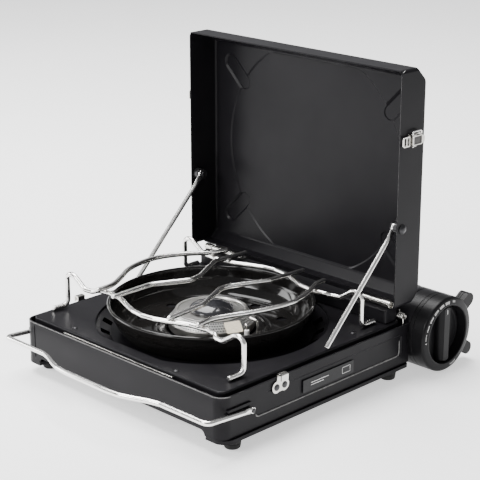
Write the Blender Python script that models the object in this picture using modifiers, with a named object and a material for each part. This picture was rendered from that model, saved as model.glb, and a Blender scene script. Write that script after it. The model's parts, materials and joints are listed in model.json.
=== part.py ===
"""Briefcase camping stove: black sheet-metal case, fold-up lid, wire pot stand and cartridge housing.

Working frame, in millimetres: x = 0 is the outside of the left wall, y = 0 the outside of the front wall and
z = 0 the rim of the case. place() moves it to the world, in metres, with z = 0 at the soles of the feet.
"""
import math

import bmesh
import bpy
from mathutils import Matrix, Vector

for old in list(bpy.data.objects):
    bpy.data.objects.remove(old, do_unlink=True)

# ---- driving dimensions, mm
CASE_W, CASE_D, CASE_H = 266.0, 286.0, 42.0
WALL, CORNER_R = 2.0, 12.0
FLOOR_Z = -57.0
SHIFT_X, SHIFT_Y = 154.0, 136.05
PAN_Z0, PAN_Z1, PAN_LIP = -46.0, -42.3, 2.4
PLATE_Z, PLATE_EDGE, PLATE_DROP, PLATE_T = 3.0, 2.3, -7.2, 1.2
BURN_X, BURN_Y = 130.5, 147.0
BOWL_TOP = 23.0
DISH_X, DISH_Y, DISH_R = 129.0, 144.0, 118.0
HOUSE_X, HOUSE_Z, HOUSE_R, HOUSE_T = 301.5, -16.5, 39.6, 1.5
PIN_R, PIN_ANGLE = 35.2, 100.0
LUG_R, LUG_ANGLE = 43.6, 34.0
LID_X, LID_DEPTH, LID_Z0, LID_Z1 = 237.4, 39.0, 22.6, 262.5
LID_Y0, LID_Y1, LID_T = -2.7, 288.7, 1.2
LID_CUT_TOP, LID_CUT_LOW, LID_RIM_R = 13.7, 10.0, 5.0
LID_DISC_R, LID_DISC_RISE, LID_PAD_RISE = 122.0, 0.8, 1.6
HINGE_X, HINGE_Z, HINGE_R, HINGE_BORE = 248.5, 21.2, 3.2, 1.8
STAY_Y, STAY_R, RIVET_BORE = 6.4, 2.4, 2.4
STAY_TOP, STAY_LOW = (245.5, 104.5), (147.0, 5.6)
LATCH_Z = 193.0
WIRE_R = 2.6
RAIL_LEFT, RAIL_RIGHT, RAIL_Z = 48.3, 213.6, 30.5
STAND_HALF, TOE = 127.4, 20.0
HANDLE_R, HANDLE_X, HANDLE_Z = 2.5, 36.0, -20.0
HANDLE_TILT, HANDLE_ARM_Y = 4.6, -3.6
FOOT_PLACES = {"fl": (23.5, 10.0), "fr": (246.0, 10.0), "bl": (23.5, 276.0), "br": (246.0, 276.0)}
GAP = 0.3
FAR = 30.0

LID_BACK = LID_X + LID_DEPTH
BAR_Z = RAIL_Z + 2 * WIRE_R + GAP
PIN_X = HOUSE_X + PIN_R * math.cos(math.radians(PIN_ANGLE))
PIN_Z = HOUSE_Z + PIN_R * math.sin(math.radians(PIN_ANGLE))

parts = bpy.data.collections.new("camping_stove")
cutters = bpy.data.collections.new("cutters")
bpy.context.scene.collection.children.link(parts)
bpy.context.scene.collection.children.link(cutters)

# ---- materials
FINISHES = {"black": ((0.022, 0.022, 0.024), 0.2, 0.45), "enamel": ((0.006, 0.006, 0.007), 0.0, 0.12),
            "steel": ((0.72, 0.71, 0.69), 1.0, 0.22), "dull": ((0.42, 0.41, 0.40), 1.0, 0.45),
            "rubber": ((0.012, 0.012, 0.012), 0.0, 0.8), "plastic": ((0.02, 0.02, 0.021), 0.0, 0.5),
            "cream": ((0.72, 0.64, 0.50), 0.0, 0.5), "ceramic": ((0.85, 0.84, 0.80), 0.0, 0.35)}


def finish(name):
    if name in bpy.data.materials:
        return bpy.data.materials[name]
    colour, metallic, rough = FINISHES[name]
    mat = bpy.data.materials.new(name)
    mat.use_nodes = True
    shader = mat.node_tree.nodes["Principled BSDF"]
    shader.inputs["Base Color"].default_value = (*colour, 1.0)
    shader.inputs["Metallic"].default_value = metallic
    shader.inputs["Roughness"].default_value = rough
    return mat


# ---- modelling tools
TURN = {'z': (0.0, 0.0, 0.0), 'y': (math.pi / 2, 0.0, 0.0), 'x': (math.pi / 2, 0.0, math.pi / 2)}


def place(x, y, z):
    return Vector(((x - SHIFT_X) / 1000.0, (y - SHIFT_Y) / 1000.0, (z - FLOOR_Z) / 1000.0))


def add_object(data, name, look, location=(0.0, 0.0, 0.0), rotation=(0.0, 0.0, 0.0)):
    """Puts data in the scene: a part when it has a name, otherwise a hidden cutter."""
    ob = bpy.data.objects.new(name or "cutter", data)
    ob.location = location
    ob.rotation_euler = rotation
    if name:
        parts.objects.link(ob)
        data.materials.append(finish(look))
    else:
        cutters.objects.link(ob)
        ob.hide_render = True
        ob.display_type = 'WIRE'
    return ob


def box(x0, x1, y0, y1, z0, z1, name=None, look="black"):
    mesh = bpy.data.meshes.new(name or "cutter")
    bm = bmesh.new()
    bmesh.ops.create_cube(bm, size=0.001)
    bmesh.ops.scale(bm, vec=(x1 - x0, y1 - y0, z1 - z0), verts=bm.verts)
    bm.to_mesh(mesh)
    bm.free()
    return add_object(mesh, name, look, place((x0 + x1) / 2, (y0 + y1) / 2, (z0 + z1) / 2))


def to_mesh(curve_ob, name, look, smooth=False):
    """A mesh object in place of a curve object, its caps welded to its sides and each flat face made one."""
    bpy.context.view_layer.update()
    mesh = bpy.data.meshes.new_from_object(curve_ob.evaluated_get(bpy.context.evaluated_depsgraph_get()))
    bm = bmesh.new()
    bm.from_mesh(mesh)
    bmesh.ops.remove_doubles(bm, verts=bm.verts, dist=1e-6)
    bmesh.ops.dissolve_limit(bm, angle_limit=0.001, verts=bm.verts, edges=bm.edges)
    bmesh.ops.recalc_face_normals(bm, faces=bm.faces)
    bm.to_mesh(mesh)
    bm.free()
    mesh.materials.clear()
    mesh.polygons.foreach_set("use_smooth", [smooth] * len(mesh.polygons))
    world = curve_ob.matrix_world.copy()
    bpy.data.objects.remove(curve_ob, do_unlink=True)
    ob = add_object(mesh, name, look)
    ob.matrix_world = world
    return ob


def sheet(outline, axis, a0, a1, name=None, look="black"):
    """A flat outline given thickness from a0 to a1 along axis. The outline is (x, y) for z, (x, z) for y and
    (y, z) for x."""
    curve = bpy.data.curves.new(name or "cutter", 'CURVE')
    curve.dimensions = '2D'
    curve.fill_mode = 'BOTH'
    curve.extrude = (a1 - a0) / 2000.0
    middle_u = sum(p[0] for p in outline) / len(outline)
    middle_v = sum(p[1] for p in outline) / len(outline)
    line = curve.splines.new('POLY')
    line.points.add(len(outline) - 1)
    for point, (u, v) in zip(line.points, outline):
        point.co = ((u - middle_u) / 1000.0, (v - middle_v) / 1000.0, 0.0, 1.0)
    line.use_cyclic_u = True
    a = (a0 + a1) / 2
    centre = {'z': (middle_u, middle_v, a), 'y': (middle_u, a, middle_v), 'x': (a, middle_u, middle_v)}[axis]
    ob = add_object(curve, None, look, place(*centre), TURN[axis])
    return to_mesh(ob, name, look)


def turned(profile, centre, axis, steps, name=None, look="black", closed=True):
    """A profile of (radius, height) points turned about an axis. closed: the profile is a loop; otherwise
    both its ends lie on the axis."""
    area = sum(p[0] * q[1] - q[0] * p[1] for p, q in zip(profile, profile[1:] + profile[:1]))
    if area > 0:
        profile = profile[::-1]
    mesh = bpy.data.meshes.new(name or "cutter")
    bm = bmesh.new()
    verts = [bm.verts.new((r / 1000.0, 0.0, h / 1000.0)) for r, h in profile]
    for a, b in zip(verts, verts[1:] + (verts[:1] if closed else [])):
        bm.edges.new((a, b))
    bm.to_mesh(mesh)
    bm.free()
    turn = {'z': (0.0, 0.0, 0.0), 'y': (-math.pi / 2, 0.0, 0.0)}[axis]
    ob = add_object(mesh, name, look, place(*centre), turn)
    screw = ob.modifiers.new("turn", 'SCREW')
    screw.steps = screw.render_steps = steps
    screw.use_merge_vertices = True
    screw.merge_threshold = 0.00001
    screw.use_smooth_shade = True
    return ob


def wire(points, radius, name=None, look="steel", sides=2, radii=None, as_mesh=False):
    """A round bar along a path. radii: its radius at each point, where that changes."""
    curve = bpy.data.curves.new(name or "cutter", 'CURVE')
    curve.dimensions = '3D'
    curve.bevel_depth = radius / 1000.0
    curve.bevel_resolution = sides
    curve.use_fill_caps = True
    start = place(*points[0])
    line = curve.splines.new('POLY')
    line.points.add(len(points) - 1)
    for i, (point, p) in enumerate(zip(line.points, points)):
        point.co = (*(place(*p) - start), 1.0)
        point.radius = radii[i] / radius if radii else 1.0
    line.use_smooth = True
    if name and not as_mesh:
        return add_object(curve, name, look, start)
    return to_mesh(add_object(curve, None, look, start), name, look, True)


def boolean(ob, other, operation):
    mod = ob.modifiers.new(operation.lower(), 'BOOLEAN')
    mod.operation = operation
    mod.solver = 'EXACT'
    mod.object = other
    return ob


def cut(ob, other):
    return boolean(ob, other, 'DIFFERENCE')


def join(ob, other):
    return boolean(ob, other, 'UNION')


def chamfer(ob, width, angle=60.0):
    mod = ob.modifiers.new("edge", 'BEVEL')
    mod.width = width / 1000.0
    mod.segments = 1
    mod.limit_method = 'ANGLE'
    mod.angle_limit = math.radians(angle)
    return ob


def repeat(ob, count, centre, start):
    """Copies a cutter round the vertical axis through centre; its own angle is start, in degrees."""
    step = 2 * math.pi / count
    axle = place(*centre)
    away = ob.location - axle
    ob.data.transform(Matrix.Translation(away))
    ob.location = axle
    ob.rotation_euler.z = math.radians(start)
    guide = bpy.data.objects.new("cutter_step", None)
    guide.location = axle
    guide.rotation_euler.z = math.radians(start) + step
    cutters.objects.link(guide)
    mod = ob.modifiers.new("ring", 'ARRAY')
    mod.count = count
    mod.use_relative_offset = False
    mod.use_object_offset = True
    mod.offset_object = guide
    return ob


def pivot(name, x, y, z):
    """The empty that a moving piece turns about, on its joint's axis."""
    ob = bpy.data.objects.new(name, None)
    ob.location = place(x, y, z)
    ob.empty_display_size = 0.01
    cutters.objects.link(ob)
    bpy.context.view_layer.update()
    return ob


def hang(ob, on):
    ob.parent = on
    ob.matrix_parent_inverse = on.matrix_world.inverted()
    return ob


# ---- outlines
def rounded(x0, x1, y0, y1, r, n=5):
    """Rectangle with its corners rounded: top right, top left, bottom left, bottom right."""
    r = r if isinstance(r, (list, tuple)) else [r] * 4
    pts = []
    centres = ((x1 - r[0], y1 - r[0]), (x0 + r[1], y1 - r[1]), (x0 + r[2], y0 + r[2]), (x1 - r[3], y0 + r[3]))
    for k, (cx, cy) in enumerate(centres):
        for i in range(n + 1):
            a = math.radians(90 * k + 90 * i / n)
            pts.append((cx + r[k] * math.cos(a), cy + r[k] * math.sin(a)))
    return pts


def circle(cx, cy, r, n, a0=0.0, a1=360.0):
    steps = n if abs(a1 - a0) > 359.9 else n + 1
    angles = [math.radians(a0 + (a1 - a0) * i / n) for i in range(steps)]
    return [(cx + r * math.cos(a), cy + r * math.sin(a)) for a in angles]


def obround(cx, cy, half, r, angle=0.0, n=6):
    """Two half circles of radius r whose centres are 2 * half apart."""
    arc = [math.radians(-90 + 180 * i / n) for i in range(n + 1)]
    pts = [(half + r * math.cos(a), r * math.sin(a)) for a in arc]
    pts += [(-x, -y) for x, y in pts]
    c, s = math.cos(math.radians(angle)), math.sin(math.radians(angle))
    return [(cx + x * c - y * s, cy + x * s + y * c) for x, y in pts]


def bend(points, r=5.0, n=3):
    """The path with its corners replaced by short bends."""
    pts = [Vector(p) for p in points]
    out = [pts[0]]
    for a, b, c in zip(pts, pts[1:], pts[2:]):
        d0, d1 = a - b, c - b
        angle = d0.angle(d1)
        if angle > math.radians(172):
            out.append(b)
            continue
        reach = min(r / math.tan(angle / 2), 0.45 * d0.length, 0.45 * d1.length)
        p0, p1 = b + d0.normalized() * reach, b + d1.normalized() * reach
        for i in range(n + 1):
            t = i / n
            out.append(p0 * (1 - t) ** 2 + b * 2 * t * (1 - t) + p1 * t ** 2)
    out.append(pts[-1])
    return [tuple(p) for p in out]


def flow(points, steps=2):
    """A smooth curve through the points."""
    pts = [Vector(p) for p in points]
    ext = [pts[0] * 2 - pts[1]] + pts + [pts[-1] * 2 - pts[-2]]
    out = []
    for p0, p1, p2, p3 in zip(ext, ext[1:], ext[2:], ext[3:]):
        for k in range(steps):
            t = k / steps
            out.append(0.5 * (2 * p1 + (p2 - p0) * t + (2 * p0 - 5 * p1 + 4 * p2 - p3) * t * t
                              + (3 * p1 - p0 - 3 * p2 + p3) * t ** 3))
    out.append(pts[-1])
    return [tuple(p) for p in out]


def front(y):
    return y


def back(y):
    return CASE_D - y


SIDES = (("front", front), ("back", back))


def span(side, *depths):
    """Depths measured from the front or the back wall, as y values in rising order."""
    return sorted(side(d) for d in depths)


def pin_hole(x, z, r, side, d0, d1, steps=14):
    """Cutter for a round hole across a wall, from depth d0 to d1."""
    y0, y1 = span(side, d0, d1)
    return turned([(0, y0), (r, y0), (r, y1), (0, y1)], (x, 0, z), 'y', steps, closed=False)


# ---- case
housing_bore = sheet(circle(HOUSE_X, HOUSE_Z, HOUSE_R + 0.5, 96), 'y', -FAR, CASE_D + FAR)


def make_case_wall():
    """One bent sheet, open to the right, where the cartridge housing closes it."""
    r = CORNER_R
    outside = rounded(0, CASE_W, 0, CASE_D, [0.01, r, r, 0.01], 6)
    inside = rounded(WALL, CASE_W, WALL, CASE_D - WALL, [0.01, r - WALL, r - WALL, 0.01], 6)
    outside = [p for p in outside if p[0] < CASE_W - 1]
    inside = [p for p in inside if p[0] < CASE_W - 1]
    wall = [(CASE_W, CASE_D)] + outside + [(CASE_W, 0.0), (CASE_W, WALL)]
    wall += inside[::-1] + [(CASE_W, CASE_D - WALL)]
    shell = sheet(wall, 'z', -CASE_H, 0.0, "base_shell")
    for _, side in SIDES:
        cut(shell, sheet(rounded(43.5, 253.5, -31.0, -9.5, 3.5, 3), 'y', *span(side, 0.8, -2.0)))
        join(shell, sheet(obround(22.0, -13.2, 14.0, 1.4), 'y', *span(side, 0.5, -2.2)))
        cut(shell, pin_hole(HANDLE_X, HANDLE_Z, RIVET_BORE, side, -6, 6, 12))
    cut(shell, sheet(rounded(22.0, CASE_D - 22.0, -60.0, -37.0, 6.0, 4), 'x', -3.0, 6.0))
    cut(shell, box(-1.0, 0.8, 268.6, 269.9, -37.0, -3.0))
    cut(shell, housing_bore)


def make_bottom_pan():
    edge = rounded(1.0, CASE_W - 2, -PAN_LIP, CASE_D + PAN_LIP, [4, 13, 13, 4], 5)
    pan = sheet(edge, 'z', PAN_Z0, PAN_Z1, "bottom_pan")
    cut(pan, sheet(rounded(24.5, CASE_W - 4, 1.0, CASE_D - 1.0, 8.0, 3), 'z', PAN_Z0 + 1.5, -40.0))
    cut(pan, sheet(rounded(-20.0, 22.0, 22.0, CASE_D - 22.0, 6.0, 4), 'z', -50.0, -40.0))
    for _, side in SIDES:
        cut(pan, sheet(rounded(4.0, 26.0, *span(side, 2.0, 20.0), 5.0, 3), 'z', PAN_Z0 + 1.5, -40.0))
    cut(pan, housing_bore)


def plate_outline(inset):
    x0, x1 = PLATE_EDGE + inset, CASE_W - 2 - inset
    y0, y1 = PLATE_EDGE + inset, CASE_D - PLATE_EDGE - inset
    return rounded(x0, x1, y0, y1, max(11.0 - inset, 5.0), 5)


def make_top_plate():
    """Flat top with a drop edge and a flange, which together form the gutter."""
    plate = chamfer(sheet(plate_outline(3.7), 'z', PLATE_DROP, PLATE_Z, "top_plate"), 0.8)
    join(plate, sheet(plate_outline(0.0), 'z', PLATE_DROP, PLATE_DROP + PLATE_T))
    cut(plate, sheet(plate_outline(3.7 + PLATE_T), 'z', PLATE_DROP - 2, PLATE_Z - PLATE_T))
    opening = [p for p in circle(DISH_X, DISH_Y, DISH_R, 72) if p[0] > 19.5]
    turn = next(i for i, p in enumerate(opening) if p[1] > DISH_Y and opening[i + 1][1] < DISH_Y)
    chord = math.sqrt(DISH_R ** 2 - (DISH_X - 19.5) ** 2)
    opening[turn + 1:turn + 1] = [(19.5, DISH_Y + chord), (19.5, DISH_Y - chord)]
    cut(plate, sheet(opening, 'z', -9.0, 6.0))
    cut(plate, housing_bore)


def make_dish():
    """Sunk ring under the bowl, with 24 vent windows."""
    profile = [(121.0, 0.4), (121.0, 1.6), (116.5, 1.6), (104.5, -8.8), (60.0, -8.8), (60.0, -10.0),
               (105.2, -10.0), (116.8, 0.4)]
    ring = turned(profile, (DISH_X, DISH_Y, 0), 'z', 48, "vent_ring")
    window = box(DISH_X + 103.5, DISH_X + 111.5, DISH_Y - 5.5, DISH_Y + 5.5, -14.0, 4.0)
    cut(ring, repeat(window, 24, (DISH_X, DISH_Y, 0), 7.5))
    box(2.7, 4.3, 68.0, 226.0, -5.7, 0.9, "edge_strip", "steel")


def make_bowl():
    profile = [(46.0, -7.0), (85.0, -7.0), (95.5, 3.0), (101.0, 20.5), (102.8, BOWL_TOP), (105.2, 22.2),
               (105.2, 19.0), (102.4, 19.0), (96.8, 2.2), (86.0, -8.5), (46.0, -8.5)]
    bowl = turned(profile, (BURN_X, BURN_Y, 0), 'z', 40, "bowl", "enamel")
    hole = sheet(circle(BURN_X + 75.0, BURN_Y, 5.5, 8), 'z', -14.0, 0.0)
    cut(bowl, repeat(hole, 10, (BURN_X, BURN_Y, 0), 8.0))
    cut(bowl, sheet(circle(BURN_X - 7.0, BURN_Y - 57.0, 5.2, 8), 'z', -14.0, 0.0))
    cut(bowl, sheet(circle(BURN_X + 9.0, BURN_Y - 56.0, 2.6, 6), 'z', -14.0, 0.0))


# ---- burner
def make_burner():
    centre = (BURN_X, BURN_Y, 0)
    turned([(8.5, -31.5), (8.5, -15.0), (30.0, -11.5), (42.0, -6.0), (44.3, 0.5), (44.3, 3.0), (42.6, 3.0),
            (40.0, -3.5), (28.0, -9.5), (6.8, -13.0), (6.8, -31.5)], centre, 'z', 32, "burner_base", "steel")
    turned([(43.4, 3.3), (41.0, 9.0), (37.0, 12.6), (35.8, 11.4), (39.8, 8.0), (42.2, 3.3)], centre, 'z', 32,
           "burner_ring", "steel")
    turned([(0, 9.0), (34.0, 9.0), (36.0, 12.9), (33.0, 13.2), (25.0, 11.2), (23.0, 14.5), (17.0, 18.6),
            (9.0, 20.6), (0, 21.0)], centre, 'z', 28, "burner_cap", "enamel", closed=False)
    pipe = bend([(BURN_X, BURN_Y, -31.8), (BURN_X, BURN_Y, -38.2), (BURN_X + 9, BURN_Y - 8, -38.2),
                 (225.0, 48.0, -32.0), (250.0, 33.0, -24.0)], 6, 3)
    wire(pipe, 5.8, "mixing_tube", sides=4)


def make_burner_fittings():
    x, y, z = BURN_X - 17.0, BURN_Y - 48.5, 10.5
    plate = box(x - 8.5, x + 8.5, y - 0.7, y + 0.7, z - 6.5, z + 6.5, "heat_plate", "cream")
    plate.rotation_euler = (math.radians(-52), 0.0, math.radians(-22))
    join(plate, wire([(x, y - 1.5, z - 2.5), (x - 0.5, y - 2.5, -6.6)], 1.0))
    body = [(0, -16.0), (3.2, -16.0), (3.2, -6.5), (4.4, -6.5), (4.4, -4.5), (2.6, -4.5), (2.6, 7.0), (1.8, 8.0),
            (1.0, 8.0), (1.0, 13.0), (0, 13.0)]
    turned(body, (BURN_X - 7.0, BURN_Y - 57.0, 0), 'z', 14, "igniter", "ceramic", closed=False)
    probe = [(BURN_X + 9.0, BURN_Y - 56.0, -15.0), (BURN_X + 9.0, BURN_Y - 56.0, 12.0),
             (BURN_X + 6.5, BURN_Y - 47.5, 14.0)]
    wire(bend(probe, 3, 3), 1.3, "flame_sensor", "dull")


# ---- gas side, inside the housing
def make_regulator():
    inlet = [(HOUSE_X - 15.0, 27.0, HOUSE_Z - 5.0), (254.0, 31.0, -23.4)]
    body = [(0, 16.0), (14.0, 16.0), (21.0, 20.0), (21.0, 34.0), (16.0, 38.0), (0, 38.0)]
    regulator = turned(body, (HOUSE_X, 0, HOUSE_Z), 'y', 24, "regulator", "dull", closed=False)
    join(regulator, wire(inlet, 3.4, sides=3))
    stop = turned([(9.0, 39.0), (31.6, 39.0), (31.6, 40.4), (9.0, 40.4)], (HOUSE_X, 0, HOUSE_Z), 'y', 40,
                  "cartridge_plate", "dull")
    cut(stop, box(HOUSE_X - 3.0, HOUSE_X + 3.0, 36.0, 44.0, HOUSE_Z + 4.0, HOUSE_Z + 17.0))


# ---- cartridge housing
def half_pipe(a0, a1, y0, y1, name):
    outside = circle(HOUSE_X, HOUSE_Z, HOUSE_R, 19, a0, a1)
    inside = circle(HOUSE_X, HOUSE_Z, HOUSE_R - HOUSE_T, 19, a0, a1)
    return sheet(outside + inside[::-1], 'y', y0, y1, name)


def lug_outline(angle):
    a = math.radians(angle)
    return obround(HOUSE_X + LUG_R * math.cos(a), HOUSE_Z + LUG_R * math.sin(a), 4.5, 6.8, angle)


def make_housing():
    centre = (HOUSE_X, 0, HOUSE_Z)
    trough = half_pipe(107.5, 300.0, 14.3, 274.7, "housing_trough")
    cut(trough, wire([(HOUSE_X - 15.0, 27.0, HOUSE_Z - 5.0), (250.0, 31.4, -23.9)], 4.6, sides=4))
    r = HOUSE_R
    collar = [(r, -0.7), (r, 14.0), (r - 2.0, 14.0), (r - 2.0, 13.0), (9.0, 13.0), (9.0, 11.4), (r - 2.0, 11.4),
              (r - 2.0, -0.7)]
    ring = turned(collar, centre, 'y', 36, "housing_front_ring")
    pin_bore = [(0, 5.0), (1.8, 5.0), (1.8, 20.0), (0, 20.0)]
    cut(ring, turned(pin_bore, (PIN_X, 0, PIN_Z), 'y', 12, closed=False))
    cap = [(0, 288.5), (r - 2.5, 288.5), (r - 2.5, 275.0), (r, 275.0), (r, 288.5), (r - 2.5, 290.5), (0, 290.5)]
    end = turned(cap, centre, 'y', 36, "housing_back_cap", closed=False)
    for angle in (LUG_ANGLE, -LUG_ANGLE):
        join(end, sheet(lug_outline(angle), 'y', 277.5, 289.0))
    turned([(0, 6.0), (1.2, 6.0), (1.2, 284.0), (0, 284.0)], (PIN_X, 0, PIN_Z), 'y', 10, "cover_pin", "steel",
           closed=False)


def make_cover():
    cover = half_pipe(-58.0, 101.0, 15.0, 274.0, "housing_cover")
    knuckle = [(3.0, 15.5), (3.0, 273.5), (1.6, 273.5), (1.6, 15.5)]
    join(cover, turned(knuckle, (PIN_X, 0, PIN_Z), 'y', 14))
    hang(cover, pivot("cover_axis", PIN_X, CASE_D / 2, PIN_Z))


def make_control():
    centre = (HOUSE_X, 0, HOUSE_Z)
    r = HOUSE_R
    profile = [(r, -18.0), (r, -1.0), (r - 2.5, -1.0), (r - 2.5, -6.0), (30.5, -8.0), (30.5, -21.6)]
    profile.append((31.2, -22.0))
    ring = turned(profile, centre, 'y', 36, "control_ring", "plastic")
    for angle in (LUG_ANGLE, -LUG_ANGLE):
        join(ring, sheet(lug_outline(angle), 'y', -18.0, -6.5))
    disc = [(0, -11.0), (29.9, -11.0), (29.9, -8.4), (6.0, -7.4), (6.0, 15.7), (0, 15.7)]
    dial = turned(disc, centre, 'y', 36, "dial", "plastic", closed=False)
    ends = circle(HOUSE_X, HOUSE_Z, 29.4, 4, 102.0, 78.0) + circle(HOUSE_X, HOUSE_Z, 29.4, 4, -78.0, -102.0)
    join(dial, sheet(ends, 'y', -20.5, -10.0))
    hang(dial, pivot("dial_axis", HOUSE_X, 0, HOUSE_Z))


def make_feet():
    profile = [(0, FLOOR_Z), (6.6, FLOOR_Z), (7.6, FLOOR_Z + 1.2), (8.7, PAN_Z0 - GAP), (0, PAN_Z0 - GAP)]
    for corner, (x, y) in FOOT_PLACES.items():
        turned(profile, (x, y, 0), 'z', 16, "foot_" + corner, "rubber", closed=False)


# ---- hinges
def barrel(y0, y1):
    profile = [(HINGE_R, y0), (HINGE_R, y1), (HINGE_BORE, y1), (HINGE_BORE, y0)]
    return turned(profile, (HINGE_X, 0, HINGE_Z), 'y', 20)


def make_hinges(lid_axis):
    edge = rounded(238.5, 257.5, 9.6, CASE_D - 9.6, 1.0, 2)
    sheet(edge, 'z', PLATE_Z + GAP, 17.6, "hinge_block")
    for name, side in SIDES:
        leaf = box(HINGE_X + 0.5, 257.0, *span(side, 19.0, 65.0), 17.9, 19.1, "hinge_leaf_" + name, "dull")
        join(leaf, barrel(*span(side, 35.3, 64.7)))
        cut(leaf, box(240.0, HINGE_X + 4.0, *span(side, 10.0, 35.0), 17.0, 25.0))
        upper = box(HINGE_X + 2.2, 262.0, *span(side, 19.0, 34.7), 21.0, 22.3, "lid_leaf_" + name, "dull")
        join(upper, barrel(*span(side, 19.0, 34.7)))
        hang(upper, lid_axis)
        y0, y1 = span(side, 18.0, 65.5)
        turned([(0, y0), (1.4, y0), (1.4, y1), (0, y1)], (HINGE_X, 0, HINGE_Z), 'y', 12, "hinge_pin_" + name,
               "steel", closed=False)
    turns = [2.4 * math.pi * i / 10 for i in range(4, 14)]
    coil = [(262.4 + 3.3 * math.cos(a), 4.2 + a / (0.48 * math.pi), 6.4 + 3.3 * math.sin(a)) for a in turns]
    wire([(260.2, 4.6, -5.6)] + coil + [(265.6, 11.6, 2.6)], 0.9, "hinge_spring", sides=1)


# ---- lid, open at 90 degrees
def lid_outline(inset, rim):
    x1, z0, z1 = LID_BACK - inset, LID_Z0 + inset, LID_Z1 - inset
    k = inset * math.tan(math.radians(22.5))
    return [(rim, z0), (x1 - LID_CUT_LOW + k, z0), (x1, z0 + LID_CUT_LOW - k), (x1, z1 - LID_CUT_TOP + k),
            (x1 - LID_CUT_TOP + k, z1), (rim, z1)]


def pressed(outline, rise, shell):
    """A raised area of the lid's back: standing out outside, sunk inside."""
    join(shell, sheet(outline, 'x', LID_BACK - 0.5, LID_BACK + rise))
    return sheet(outline, 'x', LID_BACK - 3.0, LID_BACK + rise - LID_T)


def make_lid(lid_axis):
    shell = sheet(lid_outline(0.0, LID_X), 'y', LID_Y0, LID_Y1, "lid_shell")
    middle_y, middle_z = CASE_D / 2, 142.5
    low, high = LID_Z0 + LID_CUT_LOW + 1.0, LID_Z1 - LID_CUT_TOP - 1.0
    disc = [(y, min(max(z, low), high)) for y, z in circle(middle_y, middle_z, LID_DISC_R, 40)]
    sunk = [pressed(disc, LID_DISC_RISE, shell)]
    for sy in (-1, 1):
        for sz in (-1, 1):
            pad = obround(middle_y + sy * 110.7, middle_z + sz * 75.7, 14.0, 8.5, 45.0 * sy * sz)
            sunk.append(pressed(pad, LID_PAD_RISE, shell))
    cut(shell, sheet(lid_outline(LID_T, LID_X - 5.0), 'y', LID_Y0 + LID_T, LID_Y1 - LID_T))
    for tool in sunk:
        cut(shell, tool)
    inside = (LID_Y0 + LID_T + 0.001, LID_Y1 - LID_T - 0.001)
    cut(shell, box(LID_X - 5.0, 255.0, *inside, LID_Z0 - 2.0, LID_Z0 + 3.0))
    corner = circle(LID_X + LID_RIM_R, LID_Z1 - LID_RIM_R, LID_RIM_R, 4, 180.0, 90.0)
    corner = [(LID_X - 1, LID_Z1 + 1), (LID_X - 1, LID_Z1 - LID_RIM_R)] + corner
    corner.append((LID_X + LID_RIM_R, LID_Z1 + 1))
    cut(shell, sheet(corner, 'y', LID_Y0 - 1, LID_Y0 + LID_T + 0.3))
    cut(shell, sheet(corner, 'y', LID_Y1 - LID_T - 0.3, LID_Y1 + 1))
    for _, side in SIDES:
        cut(shell, pin_hole(*STAY_TOP, RIVET_BORE, side, -6.0, 2.0))
    hang(shell, lid_axis)


def make_stays(lid_axis):
    """Rods riveted inside the lid's side walls, their lower ends resting on the plate."""
    x, z = STAY_TOP
    reach = math.hypot(x - STAY_LOW[0], z - STAY_LOW[1])
    ux, uz = (x - STAY_LOW[0]) / reach, (z - STAY_LOW[1]) / reach
    head = [(0, -5.6), (2.6, -5.5), (4.4, -4.4), (5.0, -3.0), (2.0, -3.0), (2.0, -1.2), (6.0, -1.2), (6.0, 4.8),
            (2.0, 4.8), (2.0, 8.0), (4.6, 8.0), (4.2, 9.6), (0, 9.9)]
    for name, side in SIDES:
        y = side(STAY_Y)
        path = [(STAY_LOW[0], y, STAY_LOW[1]), (x - 16 * ux, y, z - 16 * uz),
                (x - 9 * ux - 0.8 * uz, y, z - 9 * uz + 0.8 * ux), (x - 3.4 * ux, y, z - 3.4 * uz)]
        stay = wire(path, STAY_R, "stay_" + name, sides=3, radii=[STAY_R, STAY_R, 2.0, 1.3], as_mesh=True)
        eye = [(0, y - 1.3), (5.0, y - 1.3), (5.0, y + 1.3), (0, y + 1.3)]
        join(stay, turned(eye, (x, 0, z), 'y', 18, closed=False))
        cut(stay, turned([(0, y - 3.0), (RIVET_BORE, y - 3.0), (RIVET_BORE, y + 3.0), (0, y + 3.0)], (x, 0, z), 'y',
                         14, closed=False))
        hang(stay, pivot("stay_axis_" + name, x, y, z))
        rivet = turned([(r, side(d)) for r, d in head], (x, 0, z), 'y', 14, "stay_rivet_" + name, "dull",
                       closed=False)
        hang(rivet, lid_axis)


# ---- toggle latches on the lid, catch plates on the case
def make_latch(name, side, lid_axis):
    def slab(x0, x1, d0, d1, z0, z1, node=None):
        y0, y1 = span(side, LID_Y0 - d0, LID_Y0 - d1)
        return box(x0, x1, y0, y1, LATCH_Z + z0, LATCH_Z + z1, node, "steel")

    base = slab(248.6, 274.6, 0.3, 1.3, -6.5, 6.5, "latch_base_" + name)
    join(base, slab(250.4, 256.0, 1.0, 5.2, -6.5, -5.5))
    join(base, slab(250.4, 256.0, 1.0, 5.2, 5.5, 6.5))
    hang(base, lid_axis)
    lever = slab(250.6, 270.0, 4.4, 5.4, -5.1, 5.1, "latch_lever_" + name)
    join(lever, slab(269.0, 274.4, 4.4, 5.4, -4.4, 4.4))
    join(lever, slab(250.6, 266.0, 2.6, 4.9, -5.1, -4.3))
    join(lever, slab(250.6, 266.0, 2.6, 4.9, 4.3, 5.1))
    hang(lever, pivot("lever_axis_" + name, 251.0, side(-7.6), LATCH_Z))
    claw = slab(238.6, 249.0, 2.2, 3.4, -6.2, 6.2, "latch_claw_" + name)
    cut(claw, slab(240.4, 243.2, 1.0, 5.0, -4.2, 4.2))
    cut(claw, slab(244.8, 247.6, 1.0, 5.0, -4.2, 4.2))
    hang(claw, pivot("claw_axis_" + name, 253.0, side(-5.9), LATCH_Z))


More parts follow.
